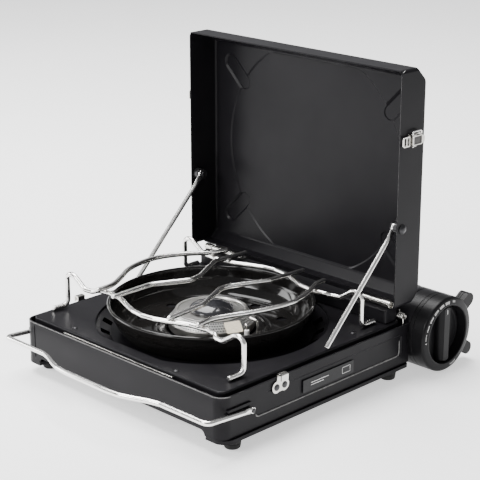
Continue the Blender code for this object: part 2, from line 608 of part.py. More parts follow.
def make_catch(name, side):
    x0, x1, z, r = 70.2, 80.8, -9.0, 5.8
    edge = circle(x0, z, r, 8, 90, 300) + circle(x1, z, r, 8, -120, 90) + [(80.2, 0.0), (70.8, 0.0)]
    catch = sheet(edge, 'y', *span(side, -0.3, -1.5), "catch_" + name, "steel")
    for x in (x0, x1):
        cut(catch, sheet(circle(x, z, 2.4, 12), 'y', *span(side, -4.5, 3.5)))
    hook = [(-0.4, -1.0), (-0.4, 4.6), (-5.6, 4.6), (-6.8, 3.4), (-6.8, -1.6), (-5.6, -1.6), (-5.6, 3.2),
            (-1.4, 3.2), (-1.4, -1.0)]
    join(catch, sheet([(side(d), h) for d, h in hook], 'x', 70.9, 80.1))


# ---- bail handle of bent rod, held under the stop ribs
def make_handle():
    tilt = math.radians(HANDLE_TILT)
    run = [(3.0, 0.0), (7.0, 0.0), (11.0, 0.0), (57.0, 0.0), (57.0, 62.0), (60.5, 74.0), (67.0, 88.0),
           (72.0, 101.0), (74.0, 118.0)]
    near = bend([(HANDLE_X - u * math.cos(tilt), HANDLE_ARM_Y + v, HANDLE_Z + u * math.sin(tilt)) for u, v in run],
                6.0, 2)
    path = near + [(x, back(y), z) for x, y, z in near[::-1]]
    radii = [1.25, 1.25] + [HANDLE_R] * (len(path) - 4) + [1.25, 1.25]
    handle = wire(path, HANDLE_R, "handle", radii=radii, as_mesh=True)
    head = [(0, -6.9), (2.6, -6.7), (3.6, -6.2), (3.6, -5.2), (2.0, -5.2), (2.0, 2.3), (3.4, 2.3), (3.4, 3.4),
            (0, 3.4)]
    for name, side in SIDES:
        join(handle, pin_hole(HANDLE_X, HANDLE_Z, 4.4, side, -2.35, -4.85, 18))
        cut(handle, pin_hole(HANDLE_X, HANDLE_Z, RIVET_BORE, side, -9.0, 3.0))
        turned([(r, side(d)) for r, d in head], (HANDLE_X, 0, HANDLE_Z), 'y', 12, "handle_rivet_" + name, "dull",
               closed=False)
    hang(handle, pivot("handle_axis", HANDLE_X, CASE_D / 2, HANDLE_Z))


# ---- wire pot stand: two rails with feet, four cross bars
def make_stand():
    seat = pivot("stand_axis", BURN_X, BURN_Y, PLATE_Z)
    low = PLATE_Z + WIRE_R + 0.4
    shape = [(STAND_HALF, 0.0, low), (STAND_HALF, 0.0, 36.5), (STAND_HALF - 6, 0.0, 40.2),
             (STAND_HALF - 12, 0.0, 39.4), (STAND_HALF - 28, 0.0, 29.0), (STAND_HALF - 38, 1.5, 28.8),
             (84.0, 5.5, RAIL_Z), (70.0, 8.0, RAIL_Z), (50.0, 5.0, RAIL_Z), (30.0, -3.5, RAIL_Z),
             (15.0, -9.0, RAIL_Z), (0.0, -11.0, RAIL_Z)]
    for name, sign, foot_x in (("left", 1, RAIL_LEFT), ("right", -1, RAIL_RIGHT)):
        half = [(foot_x - sign * TOE, BURN_Y - STAND_HALF, low)]
        half += [(foot_x + sign * dx, BURN_Y - dy, z) for dy, dx, z in shape]
        path = half + [(x, 2 * BURN_Y - y, z) for x, y, z in half[-2::-1]]
        hang(wire(bend(path, 5.0, 1), WIRE_R, "trivet_rail_" + name), seat)
    curved = {1: [(42, 221), (64, 222.5), (86, 234), (107, 246.5), (130, 253), (152, 253.5), (172, 247), (190, 236),
                  (206, 224), (224, 217)],
              4: [(46, 80), (68, 82.5), (86, 77.5), (106, 69.5), (131, 62), (157, 59), (180, 64.5), (200, 73),
                  (212, 78), (226, 79.5)]}
    cranked = {2: [(40, 194.5), (92, 195.5), (131, 176.5), (146, 179), (188, 201), (233, 198)],
               3: [(40, 113), (89, 116.5), (135, 137.5), (146, 136), (184, 119), (234, 115)]}
    for number, line in curved.items():
        hang(wire(flow([(x, y, BAR_Z) for x, y in line]), WIRE_R, "trivet_bar_%d" % number), seat)
    for number, line in cranked.items():
        hang(wire(bend([(x, y, BAR_Z) for x, y in line], 9.0, 2), WIRE_R, "trivet_bar_%d" % number), seat)


make_case_wall()
make_bottom_pan()
make_top_plate()
make_dish()
make_bowl()
make_burner()
make_burner_fittings()
make_regulator()
make_housing()
make_cover()
make_control()
make_feet()
lid_pivot = pivot("lid_axis", HINGE_X, CASE_D / 2, HINGE_Z)
make_hinges(lid_pivot)
make_lid(lid_pivot)
make_stays(lid_pivot)
for side_name, side_of in SIDES:
    make_latch(side_name, side_of, lid_pivot)
    make_catch(side_name, side_of)
box(107.3, 180.0, -0.55, 0.5, -27.2, -14.2, "name_plate", "plastic")
make_handle()
make_stand()
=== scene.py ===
"""Looks of the briefcase camping stove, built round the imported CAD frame.

Lengths are millimetres in the case's own frame until mesh_object() places them: x = 0 is the outside of the left
wall, y = 0 the outside of the front wall, z = 0 the rim of the case. The origin, the joints' axes and the main sizes
are read from the CAD frame. The other numbers are the part's own dimensions, drawn again here in finer detail.
"""
import json
import math

import bmesh
import bpy
from mathutils import Matrix, Vector


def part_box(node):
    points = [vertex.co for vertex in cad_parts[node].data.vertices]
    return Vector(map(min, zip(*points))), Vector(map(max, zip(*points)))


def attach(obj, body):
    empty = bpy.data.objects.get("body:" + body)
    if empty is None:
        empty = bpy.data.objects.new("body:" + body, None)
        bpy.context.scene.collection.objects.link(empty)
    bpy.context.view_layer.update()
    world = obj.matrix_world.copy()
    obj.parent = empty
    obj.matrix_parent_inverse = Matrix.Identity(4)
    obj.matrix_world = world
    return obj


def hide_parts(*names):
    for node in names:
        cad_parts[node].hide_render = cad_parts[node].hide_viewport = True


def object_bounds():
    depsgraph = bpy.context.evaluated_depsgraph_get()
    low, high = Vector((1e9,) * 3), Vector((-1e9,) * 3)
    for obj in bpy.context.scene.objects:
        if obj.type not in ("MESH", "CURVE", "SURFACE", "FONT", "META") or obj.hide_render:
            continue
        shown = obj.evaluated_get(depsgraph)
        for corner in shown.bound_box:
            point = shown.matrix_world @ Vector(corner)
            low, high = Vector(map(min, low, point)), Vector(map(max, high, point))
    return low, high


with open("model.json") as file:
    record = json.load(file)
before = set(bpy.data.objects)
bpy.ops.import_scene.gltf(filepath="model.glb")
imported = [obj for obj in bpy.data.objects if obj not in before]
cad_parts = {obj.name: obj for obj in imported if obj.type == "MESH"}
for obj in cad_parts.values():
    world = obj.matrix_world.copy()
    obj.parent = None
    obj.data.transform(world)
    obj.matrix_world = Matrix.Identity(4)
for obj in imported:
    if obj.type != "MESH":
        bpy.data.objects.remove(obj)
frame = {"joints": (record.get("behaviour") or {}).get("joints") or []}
CAD_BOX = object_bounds()
MM = 1000.0
CASE_DEPTH = 286.0

# ---------------------------------------------------------------- frame
shell_low, shell_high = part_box("base_shell")
ORIGIN = Vector((shell_low.x, (shell_low.y + shell_high.y) / 2 - CASE_DEPTH / 2 / MM, shell_high.z))


def limits(node):
    """x0, x1, y0, y1, z0, z1 of a CAD node, in the case's frame."""
    low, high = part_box(node)
    low, high = (low - ORIGIN) * MM, (high - ORIGIN) * MM
    return low.x, high.x, low.y, high.y, low.z, high.z


def pivot(joint):
    """Where a joint's axis is, in the case's frame."""
    found = next(j for j in frame["joints"] if j["name"] == joint)
    return (Vector(found["pos_m"]) - ORIGIN) * MM


def back_side(y):
    """The same distance in from the back wall as y is from the front wall."""
    return CASE_DEPTH - y


SIDES = (("front", lambda y: y), ("back", back_side))

# ---------------------------------------------------------------- materials


NOISE_ROUGHNESS = 0.55
SPREAD_FROM, SPREAD_TO = 0.3, 0.7  # most of a noise's values lie between these


class Paint:
    """A node material: a Principled shader whose sockets follow textures in object coordinates.

    A texture is given as (scale, detail) for noise, or as one scale for cells.
    """

    def __init__(self, name, metallic=0.0, specular=0.5, coat=0.0, coat_rough=0.1):
        self.mat = bpy.data.materials.new(name)
        self.mat.use_nodes = True
        self.tree = self.mat.node_tree
        self.shader = self.tree.nodes["Principled BSDF"]
        for socket, number in (("Metallic", metallic), ("Specular IOR Level", specular), ("Coat Weight", coat),
                               ("Coat Roughness", coat_rough)):
            self.shader.inputs[socket].default_value = number
        self.coord = self.tree.nodes.new("ShaderNodeTexCoord").outputs["Object"]
        self.last_normal = None

    def link(self, a, b):
        self.tree.links.new(a, b)

    def node(self, kind, fed, value, **settings):
        """New node with value linked to its input called fed, and the other inputs set."""
        node = self.tree.nodes.new("ShaderNode" + kind)
        for socket, number in settings.items():
            node.inputs[socket.replace("_", " ")].default_value = number
        self.link(value, node.inputs[fed])
        return node

    def texture(self, spec):
        if isinstance(spec, tuple):
            scale, detail = spec
            return self.node("TexNoise", "Vector", self.coord, Scale=scale, Detail=detail,
                             Roughness=NOISE_ROUGHNESS).outputs["Fac"]
        return self.node("TexVoronoi", "Vector", self.coord, Scale=spec).outputs["Distance"]

    def colour(self, spec, stops):
        node = self.node("ValToRGB", "Fac", self.texture(spec))
        elements = node.color_ramp.elements
        while len(elements) < len(stops):
            elements.new(0.5)
        for element, (place, colour) in zip(elements, stops):
            element.position = place
            element.color = (*colour, 1.0)
        self.link(node.outputs["Color"], self.shader.inputs["Base Color"])

    def roughness(self, spec, low, high):
        node = self.node("MapRange", "Value", self.texture(spec), From_Min=SPREAD_FROM, From_Max=SPREAD_TO,
                         To_Min=low, To_Max=high)
        self.link(node.outputs["Result"], self.shader.inputs["Roughness"])

    def bump(self, spec, depth_mm, strength):
        node = self.node("Bump", "Height", self.texture(spec), Strength=strength, Distance=depth_mm / MM)
        if self.last_normal:
            self.link(self.last_normal, node.inputs["Normal"])
        self.last_normal = node.outputs["Normal"]
        self.link(self.last_normal, self.shader.inputs["Normal"])


def material(name, tone, stops, gloss, *bumps, **shader):
    """Colour stops over the tone texture, roughness from gloss, then the bumps."""
    p = Paint(name, **shader)
    p.colour(tone, stops)
    p.roughness(*gloss)
    for each in bumps:
        p.bump(*each)
    return p.mat


# satin powder coat: a fine orange peel, with slow changes of shade and gloss
BLACK = material("black_powder_coat", (9, 3), ((0.35, (0.0062, 0.0058, 0.0070)), (0.65, (0.0100, 0.0094, 0.0108))),
                 ((60, 5), 0.28, 0.36), ((1500, 2), 0.03, 0.4), ((240, 2), 0.02, 0.3), specular=0.095)
# glossy fired enamel, with the gentle waviness of a dipped coat
ENAMEL = material("black_enamel", (20, 4), ((0.3, (0.0060, 0.0056, 0.0054)), (0.7, (0.0090, 0.0084, 0.0080))),
                  ((45, 5), 0.06, 0.10), ((900, 2), 0.008, 0.3), specular=0.27)
# electropolished stainless rod
WIRE = material("polished_stainless", (30, 4), ((0.3, (0.78, 0.765, 0.74)), (0.7, (0.88, 0.87, 0.85))),
                ((120, 3), 0.19, 0.26), ((700, 2), 0.001, 0.25), metallic=1.0)
# satin stainless, slightly straw-coloured where it has been warm
BURNER = material("burner_stainless", (38, 4),
                  ((0.30, (0.44, 0.43, 0.41)), (0.55, (0.56, 0.55, 0.53)), (0.8, (0.52, 0.49, 0.43))),
                  ((90, 3), 0.27, 0.36), ((900, 2), 0.003, 0.3), metallic=1.0)
# bright nickel plate on pressed steel
NICKEL = material("nickel_plate", (60, 4), ((0.3, (0.52, 0.505, 0.475)), (0.7, (0.68, 0.665, 0.635))),
                  ((150, 4), 0.18, 0.28), ((800, 3), 0.004, 0.5), metallic=1.0)
# zinc-plated steel, a little grey
ZINC = material("zinc_plate", 160, ((0.2, (0.40, 0.395, 0.38)), (0.8, (0.56, 0.55, 0.53))),
                ((200, 5), 0.30, 0.46), ((900, 3), 0.03, 0.5), metallic=1.0)
# blackened rivet heads and washers
DARK_STEEL = material("blackened_steel", (120, 4), ((0.3, (0.020, 0.020, 0.022)), (0.7, (0.045, 0.044, 0.046))),
                      ((200, 4), 0.25, 0.38), ((900, 2), 0.02, 0.5), metallic=0.6)
# glazed dark burner cap
DOME = material("glazed_cap", (50, 4), ((0.3, (0.010, 0.010, 0.012)), (0.7, (0.030, 0.030, 0.033))),
                ((90, 4), 0.10, 0.20), ((140, 3), 0.03, 0.3), specular=0.45, coat=0.1, coat_rough=0.06)
# pale mica-like heat plate with a fine speckle
CREAM = material("cream_plate", (900, 4), ((0.35, (0.58, 0.50, 0.36)), (0.6, (0.78, 0.71, 0.57))),
                 ((300, 4), 0.50, 0.65), ((700, 4), 0.05, 0.6), specular=0.35)
CERAMIC = material("white_ceramic", (150, 4), ((0.3, (0.80, 0.79, 0.76)), (0.7, (0.88, 0.875, 0.85))),
                   ((300, 4), 0.30, 0.42), ((500, 3), 0.03, 0.5))
# moulded plastic with a fine spark-eroded grain
PLASTIC = material("grained_plastic", (25, 4), ((0.3, (0.0060, 0.0058, 0.0064)), (0.7, (0.0085, 0.0082, 0.0090))),
                   ((100, 4), 0.30, 0.40), (1400, 0.04, 0.6), specular=0.11)
# smooth dark face of the name plate
GLOSS = material("plate_gloss", (40, 4), ((0.3, (0.004, 0.004, 0.005)), (0.7, (0.007, 0.007, 0.008))),
                 ((120, 3), 0.18, 0.26), ((600, 2), 0.01, 0.4), specular=0.2)
# printed ink, slightly uneven
PRINT = material("white_print", (900, 3), ((0.3, (0.52, 0.51, 0.50)), (0.7, (0.70, 0.69, 0.68))),
                 ((300, 4), 0.45, 0.6), ((1200, 4), 0.01, 0.3), specular=0.3)
RUBBER = material("black_rubber", (80, 4), ((0.3, (0.010, 0.010, 0.010)), (0.7, (0.019, 0.018, 0.018))),
                  ((200, 4), 0.66, 0.82), ((1100, 3), 0.06, 0.6), specular=0.3)
# painted highlight: a pale colour laid along rims and ledges, standing in for the light that catches the rounded edges
EDGE = material("painted_edge_highlight", (110, 4), ((0.3, (0.120, 0.117, 0.116)), (0.7, (0.230, 0.225, 0.220))),
                ((200, 4), 0.22, 0.34), ((700, 2), 0.01, 0.3))
# face of the toggle lever, its colour darkened as a painted reflection of dim surroundings
LEVER_FACE_DARK_REFLECTION = material("lever_face_painted_reflection", (140, 4), ((0.3, (0.040, 0.038, 0.037)), (0.7, (0.085, 0.082, 0.080))),
                     ((500, 5), 0.28, 0.46), ((1200, 4), 0.03, 0.5), metallic=1.0)
# bright perforated stainless sheet
BAND = material("perforated_stainless", (60, 4), ((0.3, (0.76, 0.75, 0.73)), (0.7, (0.88, 0.87, 0.85))),
                ((200, 4), 0.34, 0.44), ((900, 2), 0.004, 0.3), metallic=1.0)

# ---------------------------------------------------------------- mesh tools


def mesh_object(name, verts, faces):
    mesh = bpy.data.meshes.new(name)
    mesh.from_pydata([ORIGIN + Vector(v) / MM for v in verts], [], faces)
    bm = bmesh.new()
    bm.from_mesh(mesh)
    bmesh.ops.remove_doubles(bm, verts=bm.verts, dist=1e-7)
    bmesh.ops.recalc_face_normals(bm, faces=bm.faces)
    bm.to_mesh(mesh)
    bm.free()
    ob = bpy.data.objects.new(name, mesh)
    bpy.context.scene.collection.objects.link(ob)
    return ob


def bake(ob):
    """Applies the object's modifiers to its mesh."""
    bpy.context.view_layer.update()
    done = bpy.data.meshes.new_from_object(ob.evaluated_get(bpy.context.evaluated_depsgraph_get()))
    done.name = ob.name
    ob.modifiers.clear()
    ob.data = done
    return ob


def combine(ob, other, operation):
    mod = ob.modifiers.new("shape", 'BOOLEAN')
    mod.operation = operation
    mod.solver = 'EXACT'
    mod.object = other
    bake(ob)
    bpy.data.objects.remove(other, do_unlink=True)
    return ob


def cut(ob, other):
    return combine(ob, other, 'DIFFERENCE')


def add(ob, other):
    return combine(ob, other, 'UNION')


def bevel(ob, width, segments=3, angle=32.0):
    mod = ob.modifiers.new("rounding", 'BEVEL')
    mod.width = width / MM
    mod.segments = segments
    mod.limit_method = 'ANGLE'
    mod.angle_limit = math.radians(angle)
    mod.miter_outer = 'MITER_ARC'
    return bake(ob)


def piece(ob, body, material, nodes=(), flat_angle=38.0):
    """Shades a finished piece, gives it its material and body, and lets it stand for CAD nodes."""
    ob.data.materials.clear()
    ob.data.materials.append(material)
    ob.data.polygons.foreach_set("use_smooth", [True] * len(ob.data.polygons))
    ob.data.set_sharp_from_angle(angle=math.radians(flat_angle))
    mod = ob.modifiers.new("normals", 'WEIGHTED_NORMAL')
    mod.keep_sharp = True
    bake(ob)
    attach(ob, body)
    if nodes:
        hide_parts(*nodes)
    return ob


def prism(name, outline, axis, a0, a1):
    """Outline in the plane across axis: (x, y) for z, (x, z) for y, (y, z) for x."""
    def at(p, a):
        return {'z': (p[0], p[1], a), 'y': (p[0], a, p[1]), 'x': (a, p[0], p[1])}[axis]
    n = len(outline)
    verts = [at(p, a0) for p in outline] + [at(p, a1) for p in outline]
    faces = [tuple(range(n)), tuple(range(2 * n - 1, n - 1, -1))]
    faces += [(i, (i + 1) % n, n + (i + 1) % n, n + i) for i in range(n)]
    return mesh_object(name, verts, faces)


def box(name, x0, x1, y0, y1, z0, z1):
    return prism(name, [(x0, y0), (x1, y0), (x1, y1), (x0, y1)], 'z', z0, z1)


def tool(outline, axis, a0, a1):
    """A prism that only shapes another piece."""
    return prism("tool", outline, axis, a0, a1)


def rounded(x0, x1, y0, y1, r, n=8):
    """Rectangle outline with its four corners rounded: top right, top left, bottom left, bottom right."""
    r = r if isinstance(r, (list, tuple)) else [r] * 4
    centres = ((x1 - r[0], y1 - r[0]), (x0 + r[1], y1 - r[1]), (x0 + r[2], y0 + r[2]), (x1 - r[3], y0 + r[3]))
    pts = []
    for k, (cx, cy) in enumerate(centres):
        for i in range(n + 1):
            a = math.radians(90 * k + 90 * i / n)
            pts.append((cx + r[k] * math.cos(a), cy + r[k] * math.sin(a)))
    return pts


def soft_outline(corners, radius, n=5):
    """Closed outline through the corners, each rounded by an arc-like curve that starts radius away from it."""
    pts = []
    for a, b, c in zip(corners[-1:] + corners[:-1], corners, corners[1:] + corners[:1]):
        a, b, c = Vector(a), Vector(b), Vector(c)
        r0 = min(radius, 0.45 * (a - b).length)
        r1 = min(radius, 0.45 * (c - b).length)
        p0, p1 = b + (a - b).normalized() * r0, b + (c - b).normalized() * r1
        for i in range(n + 1):
            t = i / n
            pts.append(tuple(p0 * (1 - t) ** 2 + b * 2 * t * (1 - t) + p1 * t ** 2))
    return pts


def circle(cx, cy, r, n, a0=0.0, a1=360.0):
    """Points of a circle, or of an arc from a0 to a1 degrees with both its ends."""
    steps = n if abs(a1 - a0) > 359.9 else n + 1
    return [(cx + r * math.cos(math.radians(a0 + (a1 - a0) * i / n)),
             cy + r * math.sin(math.radians(a0 + (a1 - a0) * i / n))) for i in range(steps)]


def obround(cx, cy, half, r, angle=0.0, n=10):
    """Outline of two half circles of radius r whose centres are 2 * half apart, turned by angle."""
    arc = [(half + r * math.cos(a), r * math.sin(a)) for a in (math.radians(-90 + 180 * i / n) for i in range(n + 1))]
    pts = arc + [(-x, -y) for x, y in arc]
    c, s = math.cos(math.radians(angle)), math.sin(math.radians(angle))
    return [(cx + x * c - y * s, cy + x * s + y * c) for x, y in pts]


def lathe(name, profile, centre, axis, n, ring=True):
    """Turns (radius, height) points about an axis through centre. ring: the profile closes on itself;
    otherwise both its ends lie on the axis."""
    def at(r, h, a):
        c, s = r * math.cos(a), r * math.sin(a)
        d = {'z': (c, s, h), 'y': (c, h, s), 'x': (h, c, s)}[axis]
        return (centre[0] + d[0], centre[1] + d[1], centre[2] + d[2])
    m = len(profile)
    verts = [at(r, h, 2 * math.pi * i / n) for i in range(n) for r, h in profile]
    faces = []
    for i in range(n):
        j = (i + 1) % n
        for k in range(m if ring else m - 1):
            q = (k + 1) % m
            if not ring and k == 0:
                faces.append((i * m + k, j * m + q, i * m + q))
            elif not ring and k == m - 2:
                faces.append((i * m + k, j * m + k, i * m + q))
            else:
                faces.append((i * m + k, j * m + k, j * m + q, i * m + q))
    return mesh_object(name, verts, faces)


def smooth_path(points, steps):
    """Catmull-Rom curve through the points."""
    pts = [Vector(p) for p in points]
    ext = [pts[0] * 2 - pts[1]] + pts + [pts[-1] * 2 - pts[-2]]
    out = []
    for i in range(1, len(ext) - 2):
        p0, p1, p2, p3 = ext[i - 1], ext[i], ext[i + 1], ext[i + 2]
        for k in range(steps):
            t = k / steps
            out.append(0.5 * ((2 * p1) + (p2 - p0) * t + (2 * p0 - 5 * p1 + 4 * p2 - p3) * t * t
                              + (3 * p1 - p0 - 3 * p2 + p3) * t ** 3))
    out.append(pts[-1])
    return [tuple(p) for p in out]


def bent(points, radius=6.0, n=6):
    """The path with each corner replaced by a smooth bend, as in formed wire."""
    pts = [Vector(p) for p in points]
    out = [pts[0]]
    for a, b, c in zip(pts, pts[1:], pts[2:]):
        d0, d1 = a - b, c - b
        angle = d0.angle(d1)
        if angle > math.radians(177):
            out.append(b)
            continue
        reach = min(radius / math.tan(angle / 2), 0.48 * d0.length, 0.48 * d1.length)
        p0, p1 = b + d0.normalized() * reach, b + d1.normalized() * reach
        for i in range(n + 1):
            t = i / n
            out.append(p0 * (1 - t) ** 2 + b * 2 * t * (1 - t) + p1 * t ** 2)
    out.append(pts[-1])
    return [tuple(p) for p in out]


def rod(name, points, r, n=20, flats=None, soft_end=0.35, up=None):
    """Round bar along a path, with softened ends. flats: scale of the section (across, along up) at each point."""
    pts = [Vector(p) for p in points]
    count = len(pts)
    flats = flats or [(1.0, 1.0)] * count
    tangents = [(pts[min(i + 1, count - 1)] - pts[max(i - 1, 0)]).normalized() for i in range(count)]
    up = Vector(up) if up else (Vector((0, 0, 1)) if abs(tangents[0].z) < 0.9 else Vector((0, 1, 0)))
    side = tangents[0].cross(up).normalized()
    rings = []
    for p, t, flat in zip(pts, tangents, flats):
        side = (side - t * side.dot(t)).normalized()
        rings.append((p, side, t.cross(side), flat))
    depth = soft_end * r
    turns = [math.radians(a) for a in (90, 65, 40, 15)]
    caps = [(depth * (1 - math.sin(a)), 1 - soft_end + soft_end * math.cos(a)) for a in turns]

    def end_rings(ring, inward):
        p, s, o, (fa, fb) = ring
        return [(p + inward * d, s, o, (fa * k, fb * k)) for d, k in caps]

    start, finish = end_rings(rings[0], tangents[0]), end_rings(rings[-1], -tangents[-1])
    rings[0] = (rings[0][0] + tangents[0] * depth, *rings[0][1:])
    rings[-1] = (rings[-1][0] - tangents[-1] * depth, *rings[-1][1:])
    chain = start + rings + finish[::-1]
    verts = [p + s * math.cos(a) * r * fa + o * math.sin(a) * r * fb
             for p, s, o, (fa, fb) in chain for a in (2 * math.pi * k / n for k in range(n))]
    faces = [(i * n + k, i * n + (k + 1) % n, (i + 1) * n + (k + 1) % n, (i + 1) * n + k)
             for i in range(len(chain) - 1) for k in range(n)]
    faces.append(tuple(range(n - 1, -1, -1)))
    faces.append(tuple((len(chain) - 1) * n + k for k in range(n)))
    return mesh_object(name, verts, faces)


def stacked(name, loops):
    """Skin over loops with the same number of points, closed at both ends."""
    count = len(loops[0])
    verts = [p for loop in loops for p in loop]
    faces = [(k * count + i, k * count + (i + 1) % count, (k + 1) * count + (i + 1) % count, (k + 1) * count + i)
             for k in range(len(loops) - 1) for i in range(count)]
    faces.append(tuple(range(count - 1, -1, -1)))
    faces.append(tuple((len(loops) - 1) * count + i for i in range(count)))
    return mesh_object(name, verts, faces)


def round_edges(ob, choose, width, segments):
    """Rounds the edges whose two ends choose() accepts, given in the case's frame."""
    bm = bmesh.new()
    bm.from_mesh(ob.data)
    chosen = [e for e in bm.edges if choose(*((v.co - ORIGIN) * MM for v in e.verts))]
    bmesh.ops.bevel(bm, geom=chosen, offset=width / MM, segments=segments, profile=0.5, affect='EDGES',
                    clamp_overlap=True)
    bm.to_mesh(ob.data)
    bm.free()
    return ob


def drill(ob, x, z, r, n, y0, y1):
    """Cuts a round hole along y."""
    return cut(ob, tool(circle(x, z, r, n), 'y', *sorted((y0, y1))))


def merge(name, obs):
    """One object out of several that don't touch."""
    bm = bmesh.new()
    for ob in obs:
        bm.from_mesh(ob.data)
    mesh = bpy.data.meshes.new(name)
    bm.to_mesh(mesh)
    bm.free()
    for ob in obs:
        bpy.data.objects.remove(ob, do_unlink=True)
    out = bpy.data.objects.new(name, mesh)
    bpy.context.scene.collection.objects.link(out)
    return out


# ---------------------------------------------------------------- sizes read from the frame
bowl_box = limits("bowl")
BOWL_X, BOWL_Y = (bowl_box[0] + bowl_box[1]) / 2, (bowl_box[2] + bowl_box[3]) / 2
ring_box = limits("housing_front_ring")
HOUSE_X, HOUSE_Z = (ring_box[0] + ring_box[1]) / 2, (ring_box[4] + ring_box[5]) / 2
HOUSE_R = (ring_box[1] - ring_box[0]) / 2
lid_box = limits("lid_shell")
LID_X, LID_BACK = lid_box[0], lid_box[1] - 1.6
LID_Y0, LID_Y1, LID_Z0, LID_Z1 = lid_box[2:]
PLATE_Z = limits("top_plate")[5]
HINGE = pivot("lid_fold")
FLOOR_Z = limits("foot_fl")[4]
WALL = 2.0
RIVET_BORE = 2.4
LEDGE_DEPTH = 0.95
DISH_X, DISH_Y = 129.0, 144.0
IGNITER_X, IGNITER_Y = BOWL_X - 7.0, BOWL_Y - 57.0
PROBE_X, PROBE_Y = BOWL_X + 9.0, BOWL_Y - 56.0
LUG_R, LUG_ANGLES = 43.6, (34.0, -34.0)
CATCH_XS, CATCH_Z = (70.2, 80.8), -9.0
bore = circle(HOUSE_X, HOUSE_Z, HOUSE_R + 0.5, 128)


def bore_tool():
    return tool(bore, 'y', -30.0, CASE_DEPTH + 30.0)


# ---------------------------------------------------------------- case


def recess(inset):
    """Outline of the long pressed panel in the front and back walls."""
    x0, x1, z0, z1 = 43.0 + inset, 254.4 - inset, -31.6 + inset, -8.9 - inset
    return soft_outline([(x0, z0), (x1, z0), (x1, z1), (x0 + 16.5, z1), (x0 + 9.5, z1 - 2.2), (x0, z1 - 9.0)], 3.4)


def case_wall():
    outer = [p for p in rounded(0, 266, 0, CASE_DEPTH, [0.01, 12, 12, 0.01], 10) if p[0] < 265]
    inner = [p for p in rounded(WALL, 266, WALL, CASE_DEPTH - WALL, [0.01, 10, 10, 0.01], 10) if p[0] < 265]
    outline = [(266, CASE_DEPTH)] + outer + [(266, 0), (266, WALL)] + inner[::-1] + [(266, CASE_DEPTH - WALL)]
    ob = prism("case_wall", outline, 'z', -42.0, 0.0)
    pivot_at = pivot("handle_swing")
    for _, side in SIDES:
        cut(ob, stacked("tool", [[(x, side(y), z) for x, z in recess(inset)]
                                 for y, inset in ((-2.0, 0.0), (0.0, 0.0), (LEDGE_DEPTH, 1.3))]))
        add(ob, tool(obround(22.0, -13.2, 14.0, 1.4), 'y', *sorted((side(0.5), side(-2.1)))))
        drill(ob, pivot_at.x, pivot_at.z, RIVET_BORE, 20, side(-6), side(6))
    cut(ob, tool(rounded(22.0, CASE_DEPTH - 22.0, -60.0, -37.0, 6.0), 'x', -3.0, 6.0))
    cut(ob, box("tool", -1.0, 0.8, 268.6, 269.9, -37.0, -3.0))
    cut(ob, bore_tool())
    bevel(ob, 0.6, 3)
    return piece(ob, "case", BLACK, ["base_shell"])


def case_edge_highlights():
    """Thin pale lines of painted highlight along the rim and along the lower ledge of the pressed panels, where light
    would catch the edges.
    """
    inset = 0.42
    loop = rounded(inset, 268, inset, CASE_DEPTH - inset, [0.01, 11.6, 11.6, 0.01], 10)
    rim = [(x, y, -inset) for x, y in loop if x < 264]
    lines = [rod("case_rim_highlight", rim, 0.5, 8, up=(0, 0, 1))]
    for _, side in SIDES:
        x0, x1, y, z = 44.4, 251.2, side(0.62), -31.05
        path = [(x0 + 0.2, y, z + 3.0), (x0 + 0.4, y, z + 2.0), (x0 + 1.0, y, z + 1.0), (x0 + 3.4, y, z),
                (x1 - 3.4, y, z), (x1 - 1.0, y, z + 1.0), (x1, y, z + 3.4), (x1, y, z + 16.0)]
        flats = [(0.4, 0.4), (0.8, 0.8)] + [(1.0, 1.0)] * 4 + [(0.8, 0.8), (0.4, 0.4)]
        lines.append(rod("ledge_highlight", path, 0.75, 8, flats, up=(0, 1, 0)))
    piece(merge("case_highlight_lines", lines), "case", EDGE)


def inner_shields():
    """Sheets that close the case over the arch on the left and beside the cartridge housing."""
    roof = box("arch_roof", WALL + 0.3, 24.3, 20.0, CASE_DEPTH - 20.0, -36.6, -36.0)
    add(roof, box("tool", 23.7, 24.3, 20.0, CASE_DEPTH - 20.0, -42.2, -36.0))
    piece(roof, "case", BLACK)
    screen = box("heat_screen", 262.6, 263.2, 52.0, CASE_DEPTH - WALL - 0.4, -42.2, -7.6)
    piece(screen, "case", BLACK)


def bottom_pan():
    ob = prism("bottom_tray", rounded(1.0, 264.0, -2.4, CASE_DEPTH + 2.4, [4, 13, 13, 4], 10), 'z', -46.0, -42.3)
    cut(ob, tool(rounded(24.5, 262.0, 1.0, CASE_DEPTH - 1.0, 8.0), 'z', -44.5, -40.0))
    cut(ob, tool(rounded(-20.0, 22.0, 22.0, CASE_DEPTH - 22.0, 6.0), 'z', -50.0, -40.0))
    for _, side in SIDES:
        cut(ob, tool(rounded(4.0, 26.0, *sorted((side(2.0), side(20.0))), 5.0), 'z', -44.5, -40.0))
    cut(ob, tool(soft_outline([(52, 40), (228, 40), (228, 246), (52, 246)], 14.0, 8), 'z', -50.0, -45.3))
    slots = [tool(obround(BOWL_X + 18 * k, y, 10.0, 2.2, 90.0, 6), 'z', -50.0, -40.0)
             for k in (-3, -2, -1, 0, 1, 2, 3) for y in (70.0, 216.0)]
    cut(ob, merge("tool", slots))
    cut(ob, bore_tool())
    bevel(ob, 0.9, 3)
    return piece(ob, "case", BLACK, ["bottom_pan"])


